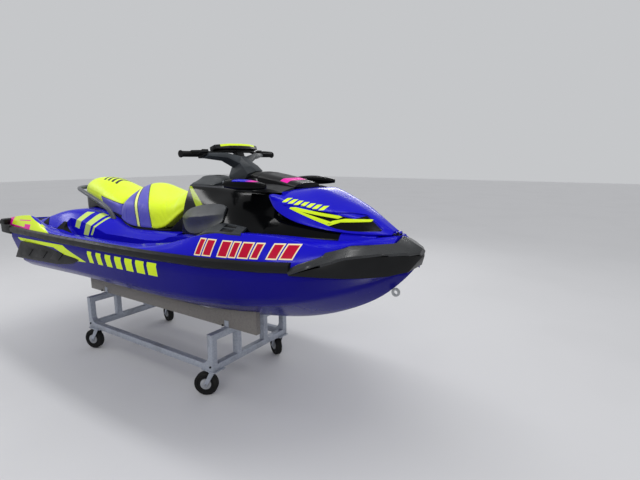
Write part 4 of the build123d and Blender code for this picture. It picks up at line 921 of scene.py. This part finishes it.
vents = ring_of_rows("vent_panel_shell", vent_ring, VENT, ((0, 1.0), (1, 0.9), (2, 0.9), (3, 1.0)), ends=1.0)
mirrored(vents)
vent_floor = copied(vents, "vent_floor")
vent_floor.location.z = -SLOT_DEPTH
settle(vent_floor)
for number, slot in enumerate(VENT_SLOTS):
    cutter = prism(f"slot_cutter_{number}", slot, 1.06, 1.16, plan=True)
    cut(cutter, copied(vent_floor, "slot_floor"))
    cut(vents, cutter)
bpy.data.objects.remove(vent_floor)
bevelled(vents, 0.001, 2, 40)
smooth(vents)
mount(vents, "craft", "grey_trim", "vent_panels", finish="vent_grey")

LID_TOP = (
    # x, half_w, rim_z, shoulder_z, crown_z
    (0.213, 0.148, 1.289, 1.312, 1.338), (0.24, 0.15, 1.289, 1.318, 1.345),
    (0.33, 0.15, 1.289, 1.319, 1.347), (0.392, 0.146, 1.289, 1.312, 1.336),
    (0.412, 0.14, 1.289, 1.3, 1.318),
)


def lid_top_row(x, half_w, rim, shoulder, crown):
    return section(x, (0, rim), (half_w, rim), (half_w * 0.96, rim + 0.008), (half_w * 0.62, shoulder),
                   (half_w * 0.3, crown), (0, crown + 0.002))


lid_top = body_of_rows("glovebox_cover", lid_top_row, LID_TOP, ((1, 1.0), (3, 0.3), (4, 0.4)), ends=0.75)
cut(lid_top, block("latch_room", (0.3, -0.036, 1.338), (0.362, 0.036, 1.36)))
smooth(lid_top)
mount(lid_top, "glovebox", "grey_trim", "glovebox_lid")
latch = block("glovebox_latch", (0.304, -0.032, 1.33), (0.358, 0.032, 1.342), 0.003)
mount(latch, "glovebox", "gloss_black")

# Storage lid, a skin with a sunk black panel and three yellow arms on each side

LID = (
    # x, foot_y, foot_z, shoulder_y, shoulder_z, crown_y, crown_z
    (0.965, 0.268, 1.25, 0.262, 1.264, 0.13, 1.28), (1.026, 0.306, 1.192, 0.285, 1.258, 0.13, 1.287),
    (1.11, 0.308, 1.155, 0.284, 1.22, 0.11, 1.29), (1.165, 0.3, 1.134, 0.27, 1.21, 0.09, 1.299),
    (1.275, 0.268, 1.109, 0.232, 1.19, 0.07, 1.257), (1.4, 0.201, 1.088, 0.128, 1.174, 0.036, 1.204),
    (1.5, 0.126, 1.079, 0.056, 1.128, 0.02, 1.142), (1.58, 0.052, 1.075, 0.032, 1.083, 0.014, 1.088),
)
LID_SKIN = 0.012
LID_DEPTH = 0.05
COWL_FRONT_X = 1.026
COWL_HALF_W = 0.238
RECESS_DEPTH = 0.005
HOOD_SIDE = (0.06, 0.36)


def lid_row(x, foot_y, foot_z, shoulder_y, shoulder_z, crown_y, crown_z):
    """Half section of the lid's outer face."""
    foot, shoulder, crown = (foot_y, foot_z), (shoulder_y, shoulder_z), (crown_y, crown_z)
    return section(x, foot, halfway(foot, shoulder, 0.003), shoulder,
                   halfway(crown, shoulder, 0.004, 0.004), crown, (0, crown_z))


def lid_body_row(x, foot_y, foot_z, *upper):
    """The same, drawn on down from the foot for a body that closes below it."""
    low = foot_z - LID_DEPTH
    return section(x, (0, low), (foot_y, low)) + lid_row(x, foot_y, foot_z, *upper)


lid_body = body_of_rows("lid_body", lid_body_row, LID, ((1, 1.0), (2, 1.0), (4, 0.35), (6, 0.35)))
hood = sheet_of_rows("hood_skin", [lid_row(*row) for row in LID], ((0, 1.0), (2, 0.35), (4, 0.35)), 1.0)
mirrored(hood, clip=True)
outward(hood)
rounded(hood)
outward(hood)
if hood.data.polygons[0].normal.z < 0:
    edit(hood)
    bpy.ops.mesh.flip_normals()
    done()
apply(hood, "SOLIDIFY", thickness=LID_SKIN, offset=-1, use_even_offset=True)
seat_y = COWL_HALF_W + 0.01
cut(hood, block("cowl_seat", (0.9, -seat_y, 1.2), (COWL_FRONT_X, seat_y, 1.4)))
recess = prism("recess_cutter", HOOD_RECESS, *HOOD_SIDE)
floor_body = copied(lid_body, "recess_floor")
swollen(floor_body, -RECESS_DEPTH)
cut(recess, floor_body)
cut(hood, recess)
flange = block("lid_flange", (COWL_FRONT_X, -COWL_HALF_W, 1.242),
               (COWL_FRONT_X + LID_SKIN, COWL_HALF_W, 1.279))
cut(hood, flange, "UNION")
bevelled(hood, 0.0015, 2, 45)
smooth(hood)
barrel = rod("lid_barrel", (1.598, -0.018, 1.08), (1.598, 0.018, 1.08), 0.007)
tongue = block("lid_tongue", (1.565, -0.018, 1.0765), (1.594, 0.018, 1.0835), 0.001)
hood = joined(hood, barrel, tongue)
mount(hood, "storage_lid", "deck_paint", "hood_lid", finish="hood_paint")

BAR_ARMS = (
    [(1.112, 1.201), (1.135, 1.196), (1.345, 1.154), (1.358, 1.161), (1.345, 1.168), (1.142, 1.208),
     (1.12, 1.208)],
    [(1.112, 1.201), (1.115, 1.194), (1.312, 1.121), (1.328, 1.13), (1.325, 1.138), (1.14, 1.199)],
    [(1.305, 1.126), (1.318, 1.121), (1.36, 1.137), (1.475, 1.1355), (1.478, 1.1455), (1.372, 1.1535),
     (1.325, 1.145)],
)
for number, outline in enumerate(BAR_ARMS):
    cutter = prism("arm_cutter", outline, *HOOD_SIDE)
    arm = outer_patch(f"hood_bar_{number}", lid_body, cutter, -0.0008)
    bevelled(arm, 0.0012, 2, 40)
    smooth(arm)
    mount(arm, "storage_lid", "deck_paint", finish="yellow_paint")
bpy.data.objects.remove(lid_body)

# Dash cowl and visor

COWL = (
    # x, foot_y, foot_z, shoulder_y, shoulder_z, top_y, top_z
    (0.745, 0.15, 1.274, 0.145, 1.3, 0.1, 1.308), (0.8, 0.225, 1.274, 0.215, 1.3, 0.15, 1.312),
    (0.9, 0.238, 1.274, 0.228, 1.3, 0.16, 1.312), (1.026, 0.238, 1.274, 0.228, 1.28, 0.15, 1.296),
)
VISOR = (
    # the same columns
    (0.704, 0.118, 1.35, 0.118, 1.36, 0.07, 1.375), (0.76, 0.128, 1.335, 0.126, 1.35, 0.076, 1.371),
    (0.761, 0.128, 1.29, 0.126, 1.349, 0.076, 1.37), (0.88, 0.138, 1.29, 0.128, 1.334, 0.08, 1.352),
    (1.026, 0.13, 1.285, 0.122, 1.3, 0.08, 1.316),
)


def cowl_row(x, foot_y, foot_z, side_y, side_z, top_y, top_z):
    return section(x, (0, foot_z), (foot_y, foot_z), (side_y, side_z), (top_y, top_z), (0, top_z))


cowl = body_of_rows("cowl_shell", cowl_row, COWL, ((1, 1.0), (2, 0.5), (3, 0.5)))
mount(cowl, "storage_lid", "gloss_black", "dash_cowl", finish="cowl_trim")
visor = body_of_rows("visor_shell", cowl_row, VISOR, ((1, 0.9), (2, 0.4), (3, 0.4)),
                     cross_creases=((1, 0.8), (2, 1.0)))
mount(visor, "storage_lid", "gloss_black", "visor", finish="visor_trim")

# Mirror pods

POD = (
    # x, half_w, low_z, high_z
    (0.735, 0.04, 1.293, 1.338), (0.805, 0.046, 1.286, 1.347), (0.905, 0.04, 1.285, 1.345),
    (1.003, 0.008, 1.3, 1.324),
)
POD_Y = 0.338


def pod_ring(x, half_w, low, high):
    rim = 0.34 * (high - low)
    ring = ((0.8, low), (-0.8, low), (-1, low + rim), (-1, high - rim), (-0.8, high), (0.8, high),
            (1, high - rim), (1, low + rim))
    return section(x, *[(POD_Y + half_w * share, z) for share, z in ring])


pods = ring_of_rows("mirror_pods_shell", pod_ring, POD)
cut(pods, block("pod_arm", (0.79, -0.31, 1.288), (0.905, -0.232, 1.306), 0.004), "UNION")
mirrored(pods)
smooth(pods, 40)
mount(pods, "storage_lid", "gloss_black", "mirror_pods", finish="pod_black")

# Seats: crowned foams under vinyl, blown up as cloth and drawn in at their seams

SEAT_FRONT = (
    # x, foot_y, foot_z, side_y, side_z, crown_y, crown_z
    (-0.4785, 0.232, 1.03, 0.222, 1.12, 0.06, 1.208), (-0.4, 0.25, 1.0, 0.25, 1.14, 0.05, 1.262),
    (-0.32, 0.256, 0.985, 0.256, 1.145, 0.045, 1.281), (-0.236, 0.258, 0.982, 0.254, 1.14, 0.042, 1.276),
    (-0.15, 0.258, 0.985, 0.248, 1.135, 0.042, 1.248), (-0.06, 0.256, 0.985, 0.235, 1.13, 0.045, 1.222),
    (0.01, 0.24, 0.992, 0.22, 1.13, 0.055, 1.215), (0.07, 0.224, 1.038, 0.204, 1.14, 0.07, 1.223),
    (0.132, 0.206, 1.09, 0.19, 1.165, 0.085, 1.246), (0.205, 0.18, 1.15, 0.168, 1.195, 0.095, 1.268),
)
SEAT_REAR = (
    # the same columns
    (-1.225, 0.04, 1.19, 0.042, 1.222, 0.02, 1.248), (-1.15, 0.095, 1.165, 0.1, 1.208, 0.04, 1.276),
    (-1.06, 0.128, 1.135, 0.132, 1.202, 0.05, 1.3), (-0.923, 0.16, 1.11, 0.163, 1.196, 0.055, 1.308),
    (-0.8, 0.178, 1.09, 0.184, 1.18, 0.05, 1.296), (-0.69, 0.198, 1.074, 0.202, 1.158, 0.045, 1.26),
    (-0.6, 0.21, 1.06, 0.21, 1.142, 0.05, 1.232), (-0.4815, 0.222, 1.04, 0.214, 1.12, 0.06, 1.207),
)
SEAT_INSET = 0.004
VOXEL = 0.008
FOAM_CAP = 0.007
FOAM_FRAMES = 20
FOAM_PRESSURE = 4
FOAM_HELD = 0.03
SEAM_DEPTH = 0.0025
SEAM_WIDTH = 0.006
WELT_RADIUS = 0.0024


def seat_row(x, foot_y, foot_z, side_y, side_z, crown_y, crown_z):
    foot_in, low, high = foot_y - SEAT_INSET, foot_z + 0.001, crown_z - SEAT_INSET
    return section(x, (0, low), (foot_in, low),
                   ((foot_y + side_y) / 2 - SEAT_INSET, foot_z + 0.45 * (side_z - foot_z)),
                   (side_y - SEAT_INSET, side_z),
                   halfway((side_y, side_z), (crown_y, crown_z), 0.008, 0.004), (crown_y, high), (0, high))


def blown(piece, floor_of):
    """Cloth pressure rounds the cover, and no point travels more than the cap or leaves the pan."""
    apply(piece, "REMESH", mode="VOXEL", voxel_size=VOXEL)
    only(piece)
    before = [vertex.co.copy() for vertex in piece.data.vertices]
    cloth = piece.modifiers.new("foam", "CLOTH")
    cloth.settings.use_pressure = True
    cloth.settings.uniform_pressure_force = FOAM_PRESSURE
    cloth.settings.effector_weights.gravity = 0
    for number in range(1, FOAM_FRAMES + 1):
        scene.frame_set(number)
    bpy.ops.object.modifier_apply(modifier=cloth.name)
    scene.frame_set(1)
    for vertex, start in zip(piece.data.vertices, before):
        move = vertex.co - start
        share = min(1.0, FOAM_CAP / max(move.length, 1e-6))
        held = min(1.0, max(0.0, (start.z - floor_of(start.x)) / FOAM_HELD))
        vertex.co = start + move * share * held


def sewn(piece, planes):
    """Draws the cover in along its seams."""
    normals = [vertex.normal.copy() for vertex in piece.data.vertices]
    for vertex, normal in zip(piece.data.vertices, normals):
        x, y, z = vertex.co
        reach = min(abs(along * x + out * abs(y) + up * z + start) for along, out, up, start in planes)
        vertex.co -= normal * SEAM_DEPTH * math.exp(-(reach / SEAM_WIDTH) ** 2)


def sliced(place, normal, **sides):
    """Cuts the mesh in edit mode with a plane and clears the sides that are named."""
    bpy.ops.mesh.select_all(action="SELECT")
    bpy.ops.mesh.bisect(plane_co=place, plane_no=normal, **sides)


def piping(name, seat, plane, low, rear_end=None):
    """A thin welt where the plane cuts the cover, above the low edge, on both sides of the boat."""
    along, out, up, start = plane
    normal = Vector((along, -out, up))
    welt = copied(seat, name)
    edit(welt)
    sliced((0, 0, 0), (0, 1, 0), clear_outer=True)
    sliced(-start * normal / normal.length_squared, normal, clear_inner=True, clear_outer=True)
    if rear_end:
        sliced((rear_end, 0, 0), (1, 0, 0), clear_inner=True)
    sliced((0, 0, low), (0, 0, 1), clear_inner=True)
    done()
    only(welt)
    bpy.ops.object.convert(target="CURVE")
    welt.data.bevel_depth = WELT_RADIUS
    welt.data.bevel_resolution = 2
    bpy.ops.object.convert(target="MESH")
    welt = named(bpy.context.object, name)
    mirrored(welt)
    outward(welt)
    smooth(welt, 60)
    mount(welt, "craft", "seat_cover", finish="piping")


def seat(name, table, node, finish, planes):
    piece = body_of_rows(name, seat_row, table, ((1, 0.8), (3, 0.1), (5, 0.1)), ends=0.5)
    blown(piece, lambda x: between(table, x, 2))
    sewn(piece, planes)
    rounded(piece, 1)
    smooth(piece, 60)
    mount(piece, "craft", "seat_cover", node, finish=finish)
    return piece


BAND_FRONT = (*BAND[:3], BAND[3] - BAND_WIDTH)
front_seat = seat("front_seat_cover", SEAT_FRONT, "seat_front", "seat_cover", (SEAM, BAND, BAND_FRONT))
rear_seat = seat("rear_seat_cover", SEAT_REAR, "seat_rear", "rear_cover", (SKIRT,))
piping("front_seat_welt", front_seat, SEAM, 1.002)
piping("front_band_welt_rear", front_seat, BAND, 0.995)
piping("front_band_welt", front_seat, BAND_FRONT, 0.995)
piping("rear_seat_welt", rear_seat, SKIRT, 1.0, -0.8)

# Grab handle, one bent bar from foot to foot

HANDLE = ((-0.52, 0.246, 1.015), (-0.545, 0.246, 1.06), (-0.62, 0.242, 1.104), (-0.76, 0.222, 1.14),
          (-0.9, 0.2, 1.168), (-1.05, 0.172, 1.198), (-1.2, 0.125, 1.212), (-1.262, 0.06, 1.215),
          (-1.275, 0.0, 1.216))
handle = pipe("grab_bar", [*HANDLE, *[(x, -y, z) for x, y, z in HANDLE[-2::-1]]], 0.016)
mount(handle, "craft", "grey_trim", "grab_handle", finish="handle_trim")

# Pieces whose shape comes straight from the frame, with their edges rounded

for row in (
    # node, slot, bevel and, where it isn't the slot's, finish
    ("side_rails", "black_trim", 0.004), ("bow_skirt", "black_trim", 0.004),
    ("stern_bumper", "black_trim", 0.008), ("deck_mats", "mat_rubber", 0.002),
    ("sponsons", "black_trim", 0.004), ("ride_plate", "cast_aluminium", 0.002),
    ("intake_grate", "cast_aluminium", 0.001), ("jet_pump", "cast_aluminium", 0.0015),
    ("impeller", "steel", 0.0006), ("steering_nozzle", "cast_aluminium", 0.0015),
    ("reverse_gate", "black_trim", 0.0015), ("engine_block", "cast_aluminium", 0.01),
    ("seat_base", "black_trim", 0.003), ("storage_bin", "black_trim", 0.002),
    ("mirror_glasses", "mirror_glass", 0.001), ("handlebar", "black_trim", 0.003),
    ("bow_eye", "steel", 0.002), ("stern_eyes", "steel", 0.002), ("trolley_frame", "frame_metal", 0.004),
    ("bunks", "bunk_carpet", 0.004), ("caster_plates", "frame_metal", 0.001),
    ("gauge", "screen_glass", 0.002), ("steering_neck", "grey_trim", 0.006), ("grips", "grip_rubber", 0.002),
    ("bow_bumper", "grey_trim", 0.006, "bumper_trim"), ("bar_pad", "grey_trim", 0.006, "pad_black"),
    ("lid_hinge", "steel", 0.0008, "black_trim"),
):
    finished(*row)

CASTERS = (
    # corner, x, y of the swivel and its angle at rest
    ("front_right", 0.53, -0.32, 30), ("front_left", 0.53, 0.32, -30),
    ("rear_right", -0.72, -0.33, 17), ("rear_left", -0.72, 0.33, -17),
)
WHEEL_Z = 0.075
TRAIL = 0.047
HUB_HALF_W = 0.0228
AXLE_HALF_L = 0.0365
HUB_RADIUS = 0.034
NUT_RADIUS = 0.009
for corner, *_ in CASTERS:
    finished(f"caster_fork_{corner}", "frame_metal", 0.001)
    finished(f"caster_wheel_{corner}", "tyre", 0.0015)

# Wedges at the stern corners

corners = prism("stern_corners", [(-1.724, 0.926), (-1.59, 0.926), (-1.59, 0.972), (-1.64, 0.974)],
                0.42, 0.545)
bevelled(corners, 0.008, 3, 30)
smooth(corners)
mount(corners, "craft", "black_trim")

# Hubs, nuts and bolts of the trolley

for corner, x, y, angle in CASTERS:
    back = Vector((-math.cos(math.radians(angle)), -math.sin(math.radians(angle)), 0))
    axle = Vector((back.y, -back.x, 0))
    centre = Vector((x, y, WHEEL_Z)) + back * TRAIL
    half = axle * HUB_HALF_W
    hub = rod(f"caster_hub_{corner}", centre - half, centre + half, HUB_RADIUS, 32, 0.002)
    mount(hub, f"wheel_{corner}", "steel", finish="caster_hub")
    half = axle * AXLE_HALF_L
    nuts = rod(f"axle_nuts_{corner}", centre - half, centre + half, NUT_RADIUS, 6, 0.001)
    mount(nuts, f"fork_{corner}", "steel")

BOLT_RADIUS = 0.007
POSTS_X = (-0.765, 0.555)
for name, ends in (
    ("plate_bolts", [((x + dx, y + dy, 0.162), (x + dx, y + dy, 0.1695))
                     for _, x, y, _ in CASTERS for dx in (-0.043, 0.043) for dy in (-0.035, 0.035)]),
    ("bracket_bolts", [((x, side * 0.2485, 0.438), (x, side * 0.256, 0.438))
                       for x in POSTS_X for side in (-1, 1)]),
    ("post_bolts", [((x, side * 0.3635, 0.205), (x, side * 0.371, 0.205))
                    for x in POSTS_X for side in (-1, 1)]),
):
    heads = [rod(f"{name}_{number}", *pair, BOLT_RADIUS, 6, 0.001) for number, pair in enumerate(ends)]
    mount(named(joined(*heads), name), "craft", "steel", finish="black_trim")

# Floor, light and camera

bpy.ops.mesh.primitive_plane_add(size=60)
floor = named(bpy.context.object, "studio_floor")
ground = Finish("studio_floor", (0.8, 0.8, 0.81), 0.6, (0.8, (0.77, 0.77, 0.78)), specular=0.2)
floor.data.materials.append(ground.make())

scene.world = bpy.data.worlds.new("studio")
sky = Graph(scene.world)
lighting, seen = [sky.node("ShaderNodeBackground", {"Color": colour, "Strength": strength}).outputs[0]
                  for colour, strength in (((0.98, 0.99, 1.0, 1.0), 0.78), ((0.56, 0.57, 0.585, 1.0), 1.0))]
rays = sky.node("ShaderNodeLightPath").outputs
# The camera and reflections see a darker sky than the one that lights the craft
shown = sky.folded("MAXIMUM", *[rays[f"Is {kind} Ray"] for kind in ("Camera", "Glossy", "Transmission")])
chosen = sky.node("ShaderNodeMixShader", enumerate((shown, lighting, seen)))
sky.fill(sky.tree.nodes["World Output"], {"Surface": chosen.outputs[0]})

for name, place, turn, size, power in (
    # Turns in degrees, power in watts
    ("overhead", (0.4, 0.2, 4.2), (0, 0, 0), (5.0, 0.5), 60),
    ("right_side", (2.5, -4.5, 3.0), (58, 0, 28), (2.6, 0.5), 45),
    ("stern", (-4.0, -1.5, 2.8), (55, 0, -70), (1.8, 0.5), 20),
    ("left_side", (-0.5, 4.5, 2.8), (-58, 0, 0), (2.6, 0.5), 25),
):
    lamp = bpy.data.lights.new(name, "AREA")
    lamp.shape = "RECTANGLE"
    lamp.size, lamp.size_y = size
    lamp.energy = power
    holder = placed(name, lamp)
    holder.location = place
    holder.rotation_euler = [math.radians(a) for a in turn]

# The photograph's own camera, solved from the craft's known dimensions
camera = placed("camera", bpy.data.cameras.new("camera"))
camera.location = (2.453, -2.045, 1.448)
camera.rotation_euler = (math.radians(79.45), 0, math.radians(33.255))
camera.data.sensor_width = 36
camera.data.lens = 24.36
scene.camera = camera
scene.view_settings.view_transform = "Standard"
